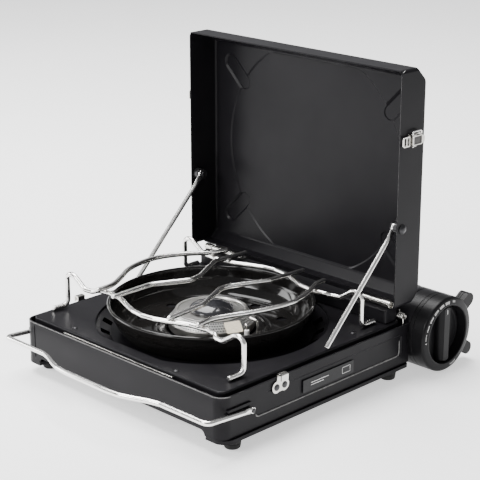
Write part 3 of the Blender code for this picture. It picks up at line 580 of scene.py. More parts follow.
def top_plate():
    def loop(inset, z):
        ring = rounded(2.3 + inset, 264.0 - inset, 2.3 + inset, CASE_DEPTH - 2.3 - inset, max(11.0 - inset, 4.5), 10)
        return [(x, y, z) for x, y in ring]
    edge = [(3.7, 1.2), (3.8, 1.9), (4.15, 2.5), (4.7, 2.86), (5.4, PLATE_Z)]
    steps = [(4.9, 1.8), (4.9, -7.2), (0.0, -7.2), (0.0, -6.0), (3.7, -6.0)] + edge
    ob = stacked("top_plate_panel", [loop(*s) for s in steps])
    opening = [(max(x, 19.5), y) for x, y in circle(DISH_X, DISH_Y, 118.0, 144)]
    corners = [p for i, p in enumerate(opening) if p[0] > 19.51 or opening[i - 1][0] > 19.51
               or opening[(i + 1) % len(opening)][0] > 19.51]
    cut(ob, tool(corners, 'z', -9.0, 6.0))
    cut(ob, bore_tool())
    bevel(ob, 0.35, 3, 40)
    return piece(ob, "case", BLACK, ["top_plate"])


def plate_screws():
    heads = []
    for x, y in ((14.7, 222.7), (11.9, 72.2), (199.4, 17.8), (199.4, 268.2)):
        head = lathe("tool", [(0, PLATE_Z - 0.4), (2.6, PLATE_Z - 0.4), (2.6, PLATE_Z + 0.3), (2.2, PLATE_Z + 0.8),
                              (1.2, PLATE_Z + 1.05), (0, PLATE_Z + 1.1)], (x, y, 0), 'z', 24, ring=False)
        for angle in (20, 110):
            cut(head, tool(obround(x, y, 1.1, 0.28, angle, 4), 'z', PLATE_Z + 0.35, PLATE_Z + 3))
        heads.append(head)
    return piece(merge("plate_screws", heads), "case", DARK_STEEL)


def dish():
    """Sunk ring under the bowl, with a row of vent windows in its wall."""
    top = circle(117.6, -0.6, 2.2, 5, 90, 40)
    low = circle(101.5, -5.2, 3.6, 6, -40, -90)
    under = [(60.0, -8.8), (60.0, -10.0), (101.5, -10.0), (105.5, -8.8), (117.0, 0.4), (121.0, 0.4)]
    ob = lathe("vent_dish", [(121.0, 1.6)] + top + low + under, (DISH_X, DISH_Y, 0), 'z', 144)
    tools = []
    for i in range(24):
        a = math.radians(15 * i + 7.5)
        ca, sa = math.cos(a), math.sin(a)
        outline = soft_outline([(103.8, -5.2), (112.8, -5.2), (112.8, 5.2), (103.8, 5.2)], 1.6, 4)
        turned = [(DISH_X + x * ca - y * sa, DISH_Y + x * sa + y * ca) for x, y in outline]
        tools.append(tool(turned, 'z', -14, 4))
    cut(ob, merge("tool", tools))
    bevel(ob, 0.25, 2, 50)
    return piece(ob, "case", BLACK, ["vent_ring"])


def edge_strip():
    x0, x1, y0, y1, z0, z1 = limits("edge_strip")
    ob = box("edge_strip_bright", x0, x1, y0, y1, z0, z1)
    return piece(bevel(ob, 0.3, 3), "case", NICKEL, ["edge_strip"])


def bowl():
    inner = [(46.0, -5.9), (46.8, -6.7), (47.8, -7.0), (53.0, -7.0), (54.2, -6.6), (55.6, -5.8), (58.4, -5.8),
             (59.8, -6.6), (61.0, -7.0), (82.0, -7.0), (83.0, -6.6), (83.8, -6.0), (86.4, -5.8), (88.0, -5.0),
             (90.6, -2.6), (93.6, 0.6)]
    inner += [(95.6, 3.4), (98.0, 8.6), (98.3, 9.6), (99.3, 10.6), (99.8, 12.0), (100.9, 18.6), (101.4, 21.2)]
    bead = circle(103.4, 21.1, 1.85, 12, 168, -20) + [(104.9, 19.6), (103.6, 19.2)]
    outer = [(102.7, 19.6), (102.2, 18.0), (101.2, 12.4), (100.2, 9.6), (97.2, 3.0), (92.4, -4.6), (89.6, -7.6),
             (86.2, -8.5), (46.6, -8.5)]
    ob = lathe("drip_bowl", inner + bead + outer, (BOWL_X, BOWL_Y, 0), 'z', 144)
    turns = [math.radians(36 * i + 8) for i in range(10)]
    rounds = [(BOWL_X + 75 * math.cos(a), BOWL_Y + 75 * math.sin(a), 5.5, 28) for a in turns]
    rounds += [(IGNITER_X, IGNITER_Y, 5.2, 24), (PROBE_X, PROBE_Y, 2.6, 16)]
    cut(ob, merge("tool", [tool(circle(*hole), 'z', -14, 0) for hole in rounds]))
    bevel(ob, 0.45, 3, 55)
    return piece(ob, "case", ENAMEL, ["bowl"])


# ---------------------------------------------------------------- burner


def perforated_band():
    """The burner's slanted steel ring: a thin wall with four rows of real holes."""
    around, rows = 96, 4
    low, high = Vector((43.3, 3.4)), Vector((37.0, 11.8))
    slope = (high - low).normalized()
    inward = Vector((-slope.y, slope.x))

    def at(turn, level, depth):
        p = low.lerp(high, level / rows) + inward * depth
        a = 2 * math.pi * turn / around
        return BOWL_X + p.x * math.cos(a), BOWL_Y + p.x * math.sin(a), p.y

    square = [(0, 0), (0.5, 0), (1, 0), (1, 0.5), (1, 1), (0.5, 1), (0, 1), (0, 0.5)]
    hole = [(0.5 + 0.31 * math.cos(math.radians(v)), 0.5 + 0.33 * math.sin(math.radians(v)))
            for v in range(225, 225 + 360, 45)]
    verts, faces = [], []
    for i in range(around):
        for j in range(rows):
            shift = i + 0.5 * (j % 2)
            base = len(verts)
            for outline, depth in ((square, 0.0), (hole, 0.0), (hole, 0.8), (square, 0.8)):
                verts += [at(shift + u, j + v, depth) for u, v in outline]
            for ring in (base, base + 8, base + 16):
                faces += [(ring + k, ring + (k + 1) % 8, ring + 8 + (k + 1) % 8, ring + 8 + k) for k in range(8)]
            for level, side in ((0, (0, 1)), (rows - 1, (4, 5))):
                if j == level:
                    faces += [(base + k, base + k + 1, base + 25 + k, base + 24 + k) for k in side]
    # a dark sheet behind the holes: painted shade, so the holes look as dark as the shaded inside of the burner
    shade_sheet = [(41.9, 3.5), (35.9, 11.3), (35.5, 11.0), (41.5, 3.5)]
    piece(lathe("burner_shade_sheet", shade_sheet, (BOWL_X, BOWL_Y, 0), 'z', 64), "case", DARK_STEEL)
    band = mesh_object("burner_band", verts, faces)
    return piece(band, "case", BAND, ["burner_ring"], 50)


def burner():
    at = (BOWL_X, BOWL_Y, 0)
    body = [(8.5, -31.5), (8.5, -15.4)] + circle(11.5, -17.0, 3.0, 4, 150, 100) + [(30.0, -11.5), (40.6, -6.9)]
    body += circle(40.6, -3.4, 3.4, 5, -80, -20)
    body += [(44.0, 0.2), (44.3, 0.9), (44.3, 2.6), (44.0, 3.0), (42.9, 3.0), (42.6, 2.6), (40.0, -3.5), (28.0, -9.5),
             (6.8, -13.0), (6.8, -31.5)]
    piece(lathe("burner_body", body, at, 'z', 96), "case", BURNER, ["burner_base"])
    perforated_band()
    ledge = [(22.0, 9.2), (34.0, 9.2), (36.2, 11.6), (37.0, 12.5), (36.9, 13.0), (36.2, 13.2), (34.6, 13.2),
             (34.0, 13.0), (33.6, 12.3), (31.4, 12.1), (31.2, 11.9), (28.4, 11.7), (28.2, 11.5), (25.4, 11.4),
             (22.0, 11.4)]
    piece(lathe("burner_ledge", ledge, at, 'z', 96), "case", BURNER)
    dome = [(0, 9.0), (21.8, 9.0), (21.8, 12.2), (22.6, 12.6), (22.8, 13.2), (22.5, 14.2), (21.4, 15.6),
            (19.6, 17.0), (17.0, 18.4), (13.6, 19.6), (9.4, 20.5), (5.0, 20.9), (0, 21.0)]
    piece(lathe("burner_dome", dome, at, 'z', 96, ring=False), "case", DOME, ["burner_cap"])


def turned_box(name, sizes, spot, turn, radius):
    """Box of the given sizes with rounded edges, turned, then moved to spot."""
    dx, dy, dz = (v / 2 for v in sizes)
    ob = prism(name, rounded(-dx, dx, -dz, dz, radius, 5), 'y', -dy, dy)
    for v in ob.data.vertices:
        v.co = ORIGIN + Vector(spot) / MM + turn @ (v.co - ORIGIN)
    return ob


def burner_fittings():
    spot = (BOWL_X - 17.0, BOWL_Y - 48.5, 10.5)
    turn = Matrix.Rotation(math.radians(-22), 3, 'Z') @ Matrix.Rotation(math.radians(-52), 3, 'X')
    plate = bevel(turned_box("heat_tab", (17.0, 1.4, 13.0), spot, turn, 1.4), 0.3, 3)
    piece(plate, "case", CREAM, ["heat_plate"])
    stem = bent([(spot[0] - 0.4, spot[1] - 2.2, -6.4), (spot[0] - 0.2, spot[1] - 2.0, 4.0),
                 (spot[0], spot[1] - 1.6, 8.4)], 3.0)
    piece(rod("heat_tab_bracket", stem, 1.0, 12), "case", DARK_STEEL)
    ig = [(0, -16.0), (3.1, -16.0), (3.2, -15.8), (3.2, -6.5), (4.2, -6.5), (4.4, -6.2), (4.4, -4.8), (4.1, -4.5),
          (2.7, -4.5), (2.6, -4.2), (2.6, -1.0), (2.35, -0.6), (2.6, -0.2), (2.6, 6.6), (2.3, 7.3), (1.4, 7.7),
          (0, 7.8)]
    piece(lathe("igniter_insulator", ig, (IGNITER_X, IGNITER_Y, 0), 'z', 32, ring=False), "case",
          CERAMIC, ["igniter"])
    tip = bent([(IGNITER_X, IGNITER_Y, 7.0), (IGNITER_X, IGNITER_Y, 12.0), (BOWL_X - 6.2, BOWL_Y - 54.4, 12.8)], 1.5, 4)
    piece(rod("igniter_electrode", tip, 0.8, 12), "case", NICKEL)
    probe = bent([(PROBE_X, PROBE_Y, -15.0), (PROBE_X, PROBE_Y, 12.0), (BOWL_X + 6.5, BOWL_Y - 47.5, 14.0)], 3.0)
    piece(rod("flame_probe", probe, 1.3, 16), "case", NICKEL, ["flame_sensor"])
    tube = bent([(BOWL_X, BOWL_Y, -31.8), (BOWL_X, BOWL_Y, -38.2), (BOWL_X + 9, BOWL_Y - 8, -38.2),
                 (225.0, 48.0, -32.0), (250.0, 33.0, -24.0)], 6.0)
    piece(rod("burner_tube", tube, 5.8, 24, up=(0, 1, 0)), "case", BURNER, ["mixing_tube"])


# ---------------------------------------------------------------- cartridge housing


def house(r, angle, y=0.0):
    a = math.radians(angle)
    return HOUSE_X + r * math.cos(a), y, HOUSE_Z + r * math.sin(a)


def arc_sheet(name, a0, a1, y0, y1, thick=1.5):
    out = circle(HOUSE_X, HOUSE_Z, HOUSE_R, 72, a0, a1)
    back = circle(HOUSE_X, HOUSE_Z, HOUSE_R - thick, 72, a0, a1)[::-1]
    return prism(name, out + back, 'y', y0, y1)


def gas_side():
    centre = (HOUSE_X, 0, HOUSE_Z)
    body = [(0, 16.0), (13.4, 16.0), (14.0, 16.3), (20.6, 19.6), (21.0, 20.4), (21.0, 26.0), (20.3, 26.5), (20.3, 27.5),
            (21.0, 28.0), (21.0, 33.6), (20.6, 34.4), (16.4, 37.6), (15.6, 38.0), (0, 38.0)]
    reg = lathe("gas_regulator", body, centre, 'y', 64, ring=False)
    add(reg, rod("tool", [(HOUSE_X - 15.0, 27.0, HOUSE_Z - 5.0), (254.0, 31.0, -23.4)], 3.4, 20, up=(0, 0, 1)))
    piece(reg, "case", ZINC, ["regulator"])
    disc = lathe("cartridge_stop", [(9.0, 39.0), (31.6, 39.0), (31.6, 40.4), (9.0, 40.4)], centre, 'y', 72)
    cut(disc, box("tool", HOUSE_X - 3.0, HOUSE_X + 3.0, 36.0, 44.0, HOUSE_Z + 4.0, HOUSE_Z + 17.0))
    piece(bevel(disc, 0.3, 2), "case", ZINC, ["cartridge_plate"])


def housing():
    centre = (HOUSE_X, 0, HOUSE_Z)
    trough = arc_sheet("housing_tray", 107.5, 300.0, 14.3, 274.7)
    cut(trough, rod("tool", [(HOUSE_X - 15.0, 27.0, HOUSE_Z - 5.0), (250.0, 31.4, -23.9)], 4.6, 24, up=(0, 0, 1)))
    piece(bevel(trough, 0.4, 2), "case", BLACK, ["housing_trough"])
    ring = [(HOUSE_R, -0.7), (HOUSE_R, 14.0), (HOUSE_R - 2.0, 14.0), (HOUSE_R - 2.0, 13.0), (9.0, 13.0),
            (9.0, 11.4), (HOUSE_R - 2.0, 11.4), (HOUSE_R - 2.0, -0.7)]
    front = lathe("housing_collar", ring, centre, 'y', 96)
    pin = pivot("cover_open")
    drill(front, pin.x, pin.z, 1.8, 16, 5.0, 20.0)
    piece(bevel(front, 0.6, 3), "case", BLACK, ["housing_front_ring"])
    cap = [(0, 288.5), (HOUSE_R - 2.5, 288.5), (HOUSE_R - 2.5, 275.0), (HOUSE_R, 275.0), (HOUSE_R, 288.4),
           (HOUSE_R - 0.8, 289.5), (HOUSE_R - 2.6, 290.3), (HOUSE_R - 5.0, 290.5), (HOUSE_R - 8.0, 290.5),
           (HOUSE_R - 9.0, 289.7), (0, 289.7)]
    back = lathe("housing_end_cap", cap, centre, 'y', 96, ring=False)
    for angle in LUG_ANGLES:
        x, _, z = house(LUG_R, angle)
        add(back, tool(obround(x, z, 4.5, 6.8, angle), 'y', 277.5, 289.0))
    piece(bevel(back, 0.6, 3), "case", BLACK, ["housing_back_cap"])
    lid = arc_sheet("housing_lid", -58.0, 101.0, 15.0, 274.0)
    add(lid, lathe("tool", [(3.0, 15.5), (3.0, 273.5), (1.6, 273.5), (1.6, 15.5)], (pin.x, 0, pin.z), 'y', 24))
    for angle in (-40.0, 70.0):
        x, _, z = house(HOUSE_R - 0.2, angle)
        add(lid, rod("tool", [(x, 26.0, z), (x, 263.0, z)], 0.55, 12, up=(0, 0, 1)))
    piece(bevel(lid, 0.35, 2, 40), "cover", BLACK, ["housing_cover"])
    piece(rod("cover_hinge_pin", [(pin.x, 6.0, pin.z), (pin.x, 284.0, pin.z)], 1.2, 20, up=(0, 0, 1)), "case",
          DARK_STEEL, ["cover_pin"])


def control_ring():
    r = HOUSE_R
    profile = [(r - 0.3, -1.0), (r, -1.3), (r, -5.6), (r - 0.5, -6.0), (r, -6.4), (r, -18.2), (r - 0.25, -19.4),
               (r - 0.9, -20.4), (r - 1.9, -21.0), (r - 3.0, -21.2), (32.2, -22.0), (31.4, -22.0), (30.8, -21.6),
               (30.5, -21.0), (30.5, -8.0), (r - 2.5, -6.0), (r - 2.5, -1.0)]
    ring = lathe("control_housing", profile, (HOUSE_X, 0, HOUSE_Z), 'y', 128)
    for angle in LUG_ANGLES:
        x, _, z = house(LUG_R, angle)
        add(ring, tool(obround(x, z, 4.5, 6.8, angle, 16), 'y', -18.0, -6.5))
        for d in (-12.4, -9.4):
            cut_ring = tool(obround(x, z, 4.5, 7.6, angle, 16), 'y', d - 0.35, d + 0.35)
            cut(cut_ring, tool(obround(x, z, 4.5, 6.3, angle, 16), 'y', d - 2.0, d + 2.0))
            drill(cut_ring, HOUSE_X, HOUSE_Z, r + 0.4, 96, d - 2.0, d + 2.0)
            cut(ring, cut_ring)
    drill(ring, HOUSE_X, HOUSE_Z, 30.5, 128, -30.0, -6.0)
    piece(bevel(ring, 0.5, 3, 50), "case", PLASTIC, ["control_ring"])


def scale_mark(name, r0, r1, a0, a1):
    """Thin printed mark lying on the control ring's sloping front."""
    def depth(r):
        return -22.0 + 0.8 * (r - 32.2) / (HOUSE_R - 3.0 - 32.2)
    steps = max(2, int(abs(a1 - a0) / 1.5))
    loops = []
    for i in range(steps + 1):
        a = a0 + (a1 - a0) * i / steps
        loops.append([house(r0, a, depth(r0) - 0.09), house(r1, a, depth(r1) - 0.09),
                      house(r1, a, depth(r1) + 0.3), house(r0, a, depth(r0) + 0.3)])
    return stacked(name, loops)


def control_scale():
    marks = []
    for k in range(6):
        a0 = 176.0 - 15.5 * k
        height = 0.8 + 0.4 * k
        for i in range(5):
            a = a0 - 2.3 * i
            marks.append(scale_mark("mark", 35.9 - height, 35.9, a, a - 1.5))
    for a in (181.5, 79.0, 76.5, 74.0, -66.0, -69.0, -72.0, -75.0, -78.0):
        marks.append(scale_mark("mark", 33.9, 35.9, a, a - 1.2))
    piece(merge("control_scale", marks), "case", PRINT)


def dial():
    centre = (HOUSE_X, 0, HOUSE_Z)
    face = [(0, -11.2), (25.8, -11.2), (26.4, -11.6), (27.4, -11.8), (29.3, -11.8), (29.9, -11.3), (29.9, -8.4),
            (6.0, -7.4), (6.0, 15.7), (0, 15.7)]
    disc = lathe("control_dial", face, centre, 'y', 128, ring=False)
    outline = []
    for a0, a1 in ((-17.0, 17.0), (163.0, 197.0)):
        for i in range(9):
            a = math.radians(a0 + (a1 - a0) * i / 8)
            outline.append((29.4 * math.sin(a), 29.4 * math.cos(a)))
    crest = [(x * 0.5, z * 0.975) for x, z in outline]
    shoulder = [(x * 0.86, z * 0.995) for x, z in outline]
    loops = [[(HOUSE_X + x, y, HOUSE_Z + z) for x, z in ring] for ring, y in
             ((outline, -10.0), (outline, -14.0), (shoulder, -17.6), (crest, -20.2), (crest, -20.5))]
    add(disc, stacked("tool", loops))
    piece(bevel(disc, 0.5, 3, 35), "control", PLASTIC, ["dial"])
    dot = prism("dial_pointer", obround(HOUSE_X, HOUSE_Z + 24.0, 2.2, 0.45, 90), 'y', -20.62, -20.3)
    piece(dot, "control", PRINT)


def feet():
    base, top = FLOOR_Z, -46.3
    profile = [(0, base + 0.5), (2.6, base + 0.5), (3.0, base), (6.2, base), (6.9, base + 0.25), (7.5, base + 0.9),
               (7.8, base + 2.0), (8.2, base + 5.0), (7.9, base + 5.5), (8.3, base + 6.0), (8.7, -46.6), (8.4, top),
               (0, top)]
    for node, name in (("foot_fl", "front_left_foot"), ("foot_fr", "front_right_foot"),
                       ("foot_bl", "back_left_foot"), ("foot_br", "back_right_foot")):
        x0, x1, y0, y1 = limits(node)[:4]
        foot = lathe(name, profile, ((x0 + x1) / 2, (y0 + y1) / 2, 0), 'z', 48, ring=False)
        piece(foot, "case", RUBBER, [node])


# ---------------------------------------------------------------- hinges


def hinge_block():
    x0, x1, y0, y1, z0, z1 = limits("hinge_block")
    ob = prism("hinge_rail", rounded(x0, x1, y0, y1, 2.2, 5), 'z', z0, z1)
    piece(bevel(ob, 0.8, 3), "case", BLACK, ["hinge_block"])


def spans(side, *pairs):
    return [tuple(sorted((side(a), side(b)))) for a, b in pairs]


def hinges():
    axis = (HINGE.x, 0, HINGE.z)

    def barrel(y0, y1):
        return lathe("tool", [(3.2, y0 + 0.3), (2.9, y0), (1.8, y0), (1.8, y1), (2.9, y1), (3.2, y1 - 0.3)],
                     axis, 'y', 32)
    for end, side in SIDES:
        leaf_span, knuckle, gap, lid_span, pin = spans(side, (19, 65), (35.3, 64.7), (10, 35), (19, 34.7), (18, 65.5))
        leaf = box("base_leaf_" + end, HINGE.x + 0.5, 257.0, *leaf_span, 17.9, 19.1)
        add(leaf, barrel(*knuckle))
        cut(leaf, box("tool", 240.0, HINGE.x + 4.0, *gap, 17.0, 25.0))
        for d in (43.0, 57.0):
            add(leaf, lathe("tool", [(0, 18.6), (1.9, 18.6), (1.9, 19.3), (1.2, 19.9), (0, 20.0)],
                            (254.2, side(d), 0), 'z', 20, ring=False))
        piece(bevel(leaf, 0.22, 2, 50), "case", NICKEL, ["hinge_leaf_" + end])
        upper = box("lid_leaf_plate_" + end, HINGE.x + 2.2, 262.0, *lid_span, 21.0, 22.3)
        add(upper, barrel(*lid_span))
        outside, near, deep, far = side(9.0), side(10.0), side(13.0), side(20.8)
        sleeve = [(3.7, near), (4.0, side(10.3)), (4.0, side(20.4)), (3.7, far), (1.9, far), (1.9, deep),
                  (2.9, deep), (2.9, near)]
        add(upper, lathe("tool", sleeve, axis, 'y', 40))
        cut(upper, lathe("tool", [(0, outside), (2.9, outside), (2.9, deep), (0, deep)], axis, 'y', 40, ring=False))
        piece(bevel(upper, 0.22, 2, 50), "lid", NICKEL, ["lid_leaf_" + end])
        bar = rod("hinge_bar_" + end, [(HINGE.x, pin[0], HINGE.z), (HINGE.x, pin[1], HINGE.z)], 1.4, 16, up=(0, 0, 1))
        piece(bar, "case", NICKEL, ["hinge_pin_" + end])
    coil = []
    for i in range(81):
        a = math.radians(200.0 + 20.0 * i)
        coil.append((262.0 + 3.0 * math.cos(a), 3.4 + 0.1 * i, 6.6 + 3.0 * math.sin(a)))
    path = [(259.4, 2.9, -5.0), (259.2, 3.2, 3.0)] + coil + [(264.0, 11.9, 12.0)]
    spring = rod("torsion_spring", path, 0.78, 12, up=(0, 1, 0))
    piece(spring, "case", NICKEL, ["hinge_spring"])


# ---------------------------------------------------------------- lid
LID_T, CHAMFER_TOP, CHAMFER_LOW = 1.2, 13.7, 10.0
DISC_Y, DISC_Z, DISC_R = 143.0, 142.5, 122.0


def lid_profile(inset, rim):
    x1, z0, z1 = LID_BACK - inset, LID_Z0 + inset, LID_Z1 - inset
    k = inset * 0.414
    return [(rim, z0), (x1 - CHAMFER_LOW + k, z0), (x1, z0 + CHAMFER_LOW - k), (x1, z1 - CHAMFER_TOP + k),
            (x1 - CHAMFER_TOP + k, z1), (rim, z1)]


def lid_form(inset, rim, y0, y1, corner, fold):
    """Solid of the lid's outline, its folded edges rounded."""
    def on_bend(a, b):
        along_y = abs(a.x - b.x) < 0.01 and abs(a.z - b.z) < 0.01
        return along_y and a.x > rim + 5.0

    def on_end(a, b):
        return abs(a.y - b.y) < 0.01 and max(a.x, b.x) > rim + 5.0

    ob = prism("lid_form", lid_profile(inset, rim), 'y', y0, y1)
    round_edges(ob, on_bend, fold, 5)
    return round_edges(ob, on_end, corner, 5)


def disc_outline(r):
    low, high = LID_Z0 + CHAMFER_LOW + 1.0 + DISC_R - r, LID_Z1 - CHAMFER_TOP - 1.0 - DISC_R + r
    return [(y, min(max(z, low), high)) for y, z in circle(DISC_Y, DISC_Z, r, 144)]


def pad_outlines(r):
    return [obround(DISC_Y + sy * 110.7, DISC_Z + sz * 75.7, 14.0, r, 45.0 * sy * sz, 14)
            for sy in (-1, 1) for sz in (-1, 1)]


def pressed(outlines, stops):
    """Solid with sloping sides: outlines(r) gives its section, stops gives (x, r)."""
    layers = [outlines(r) for _, r in stops]
    return [stacked("tool", [[(x, y, z) for y, z in layer[k]] for layer, (x, _) in zip(layers, stops)])
            for k in range(len(layers[0]))]


def lid():
    def disc(stops):
        return pressed(lambda r: [disc_outline(r)], stops)[0]

    inner_face = LID_BACK - LID_T
    ob = lid_form(0.0, LID_X, LID_Y0, LID_Y1, 3.6, 2.8)
    add(ob, disc([(LID_BACK - 0.5, DISC_R + 0.6), (LID_BACK, DISC_R), (LID_BACK + 0.8, DISC_R - 1.0)]))
    for pad in pressed(pad_outlines, [(LID_BACK - 0.5, 9.0), (LID_BACK, 9.0), (LID_BACK + 1.6, 7.4)]):
        add(ob, pad)
    cut(ob, lid_form(LID_T, LID_X - 12.0, LID_Y0 + LID_T, LID_Y1 - LID_T, 2.4, 1.6))
    cut(ob, disc([(inner_face - 3.0, DISC_R), (inner_face, DISC_R), (inner_face + 1.1, DISC_R - 1.75)]))
    hollow = [(inner_face - 3.0, 9.6), (inner_face, 9.6), (inner_face + 1.5, 7.2), (inner_face + 2.0, 7.0)]
    for pad in pressed(pad_outlines, hollow):
        cut(ob, pad)
    cut(ob, box("tool", LID_X - 5.0, 255.0, LID_Y0 + LID_T + 0.001, LID_Y1 - LID_T - 0.001, LID_Z0 - 2.0, LID_Z0 + 3.0))
    corner = [(LID_X - 1, LID_Z1 + 1), (LID_X - 1, LID_Z1 - 5.0)]
    corner += [(LID_X + 5.0 - 5.0 * math.cos(math.radians(v)), LID_Z1 - 5.0 + 5.0 * math.sin(math.radians(v)))
               for v in range(0, 91, 10)]
    corner.append((LID_X + 5.0, LID_Z1 + 1))
    cut(ob, tool(corner, 'y', LID_Y0 - 1, LID_Y0 + LID_T + 0.3))
    cut(ob, tool(corner, 'y', LID_Y1 - LID_T - 0.3, LID_Y1 + 1))
    axle = pivot("stay_front_turn")
    for _, side in SIDES:
        drill(ob, axle.x, axle.z, RIVET_BORE, 24, side(-6.0), side(2.0))
    piece(bevel(ob, 0.35, 3, 50), "lid", BLACK, ["lid_shell"], 30)
    # a thin line of painted highlight along the lid's front lip
    inset = 0.45
    lip = [(LID_X + 0.3, LID_Y0 + inset, LID_Z0 + 12.0), (LID_X + 0.3, LID_Y0 + inset, LID_Z1 - 5.4),
           (LID_X + 1.7, LID_Y0 + inset, LID_Z1 - 2.0), (LID_X + 5.0, LID_Y0 + inset, LID_Z1 - 0.4)]
    piece(rod("lid_lip_highlight", lip, 0.32, 8, up=(0, 1, 0)), "lid", EDGE)


def stays():
    top = pivot("stay_front_turn")
    low = Vector((147.0, 0.0, 5.6))
    along = Vector((top.x - low.x, 0.0, top.z - low.z)).normalized()
    across = Vector((-along.z, 0.0, along.x))
    for end, side in SIDES:
        y = side(6.4)

        def at(back, lift=0.0, y=y):
            p = Vector((top.x, y, top.z)) - along * back + across * lift
            return tuple(p)
        path = [(low.x, y, low.z), at(20.0), at(16.0), at(13.0, 0.25), at(9.0, 0.6), at(6.0, 0.5), at(2.5, 0.0)]
        flats = [(1, 1), (1, 1), (1.0, 1.0), (0.96, 1.0), (0.66, 1.3), (0.53, 1.6), (0.53, 1.6)]
        bar = rod("lid_stay_" + end, path, 2.4, 24, flats, up=tuple(across))
        eye = [(0, y - 1.3), (4.7, y - 1.3), (5.0, y - 1.0), (5.0, y + 1.0), (4.7, y + 1.3), (0, y + 1.3)]
        add(bar, lathe("tool", eye, (top.x, 0, top.z), 'y', 48, ring=False))
        drill(bar, top.x, top.z, RIVET_BORE, 24, y - 3.0, y + 3.0)
        piece(bar, "stay_f" if end == "front" else "stay_b", WIRE, ["stay_" + end], 50)
        head = [(0, -5.6), (1.4, -5.58), (2.6, -5.35), (3.7, -4.8), (4.6, -4.0), (5.0, -3.2), (4.9, -3.0), (2.0, -3.0),
                (2.0, -1.2), (5.8, -1.2), (6.0, -1.0), (6.0, 4.5), (5.8, 4.8), (2.0, 4.8), (2.0, 8.0), (5.3, 8.0),
                (5.5, 8.2), (5.5, 8.6), (5.2, 8.8), (3.2, 8.8), (2.9, 9.4), (2.0, 9.8), (0, 9.9)]
        pin = lathe("lid_stay_rivet_" + end, [(r, side(v)) for r, v in head], (top.x, 0, top.z), 'y', 40, ring=False)
        piece(pin, "lid", DARK_STEEL, ["stay_rivet_" + end])


def latches():
    z = pivot("lever_front_turn").z
    for end, side in SIDES:
        letter = end[0]

        def depth(*ds, side=side):
            return sorted(side(LID_Y0 - d) for d in ds)

        def panel(name, outline, d0, d1):
            return prism(name, [(x, z + dz) for x, dz in outline], 'y', *depth(d0, d1))

        def block(x0, x1, d0, d1, z0, z1):
            return box("tool", x0, x1, *depth(d0, d1), z + z0, z + z1)
        base = panel("toggle_base_" + end, rounded(248.6, 268.4, -5.9, 5.9, 1.4, 4), 0.3, 1.3)
        for z0, z1 in ((-5.9, -5.1), (5.1, 5.9)):
            add(base, block(250.4, 256.0, 1.0, 5.2, z0, z1))
        for x in (259.4, 265.2):
            head = [(r, depth(d)[0]) for r, d in ((0, 1.0), (1.7, 1.0), (1.7, 1.5), (1.1, 2.1), (0, 2.3))]
            add(base, lathe("tool", head, (x, 0, z), 'y', 20, ring=False))
        axle_y = depth(3.2)[0]
        axle = rod("toggle_pivot_" + end, [(253.2, axle_y, z - 6.9), (253.2, axle_y, z + 6.9)], 1.1, 14, up=(0, 1, 0))
        piece(bevel(base, 0.2, 2, 50), "lid", NICKEL, ["latch_base_" + end])
        piece(axle, "lever_" + letter, NICKEL)
        lever = panel("toggle_lever_" + end, rounded(250.6, 265.0, -4.8, 4.8, 0.8, 3), 4.2, 5.4)
        add(lever, panel("tool", soft_outline([(263.0, -3.9), (267.0, -3.9), (268.6, -2.2), (268.6, 2.2), (267.0, 3.9),
                                               (263.0, 3.9)], 1.2, 4), 4.2, 5.4))
        for z0, z1 in ((-4.8, -4.1), (4.1, 4.8)):
            add(lever, block(250.6, 263.0, 2.6, 4.9, z0, z1))
        cut(lever, panel("tool", rounded(252.2, 264.0, -3.9, 3.9, 0.9, 4), 4.9, 6.0))
        piece(bevel(lever, 0.22, 2, 50), "lever_" + letter, NICKEL, ["latch_lever_" + end])
        # grooved face panel in the lever's recess, darkened as a painted reflection
        face = panel("lever_face_" + end, rounded(252.3, 263.9, -3.8, 3.8, 0.8, 4), 4.85, 5.1)
        for dz in (-2.4, -0.8, 0.8, 2.4):
            cut(face, panel("tool", rounded(253.0, 263.2, dz - 0.25, dz + 0.25, 0.24, 3), 5.02, 6.0))
        piece(face, "lever_" + letter, LEVER_FACE_DARK_REFLECTION)
        loop = [(238.6, -4.4), (240.2, -5.2), (249.0, -5.2), (249.0, 5.2), (240.2, 5.2), (238.6, 4.4)]
        claw = panel("toggle_claw_" + end, soft_outline(loop, 1.2, 4), 2.2, 3.4)
        for x0, x1 in ((240.2, 243.2), (244.6, 247.6)):
            cut(claw, panel("tool", rounded(x0, x1, -3.9, 3.9, 1.2, 5), 1.0, 5.0))
        piece(bevel(claw, 0.22, 2, 50), "claw_" + letter, NICKEL, ["latch_claw_" + end])
        bail = bent([(x, depth(3.4)[0], z + dz) for x, dz in ((252.4, 4.9), (252.4, 8.6), (265.4, 8.6), (265.4, 4.9))],
                    2.6, 5)
        piece(rod("toggle_loop_" + end, bail, 0.9, 16, up=(0, 1, 0)), "lid", WIRE)


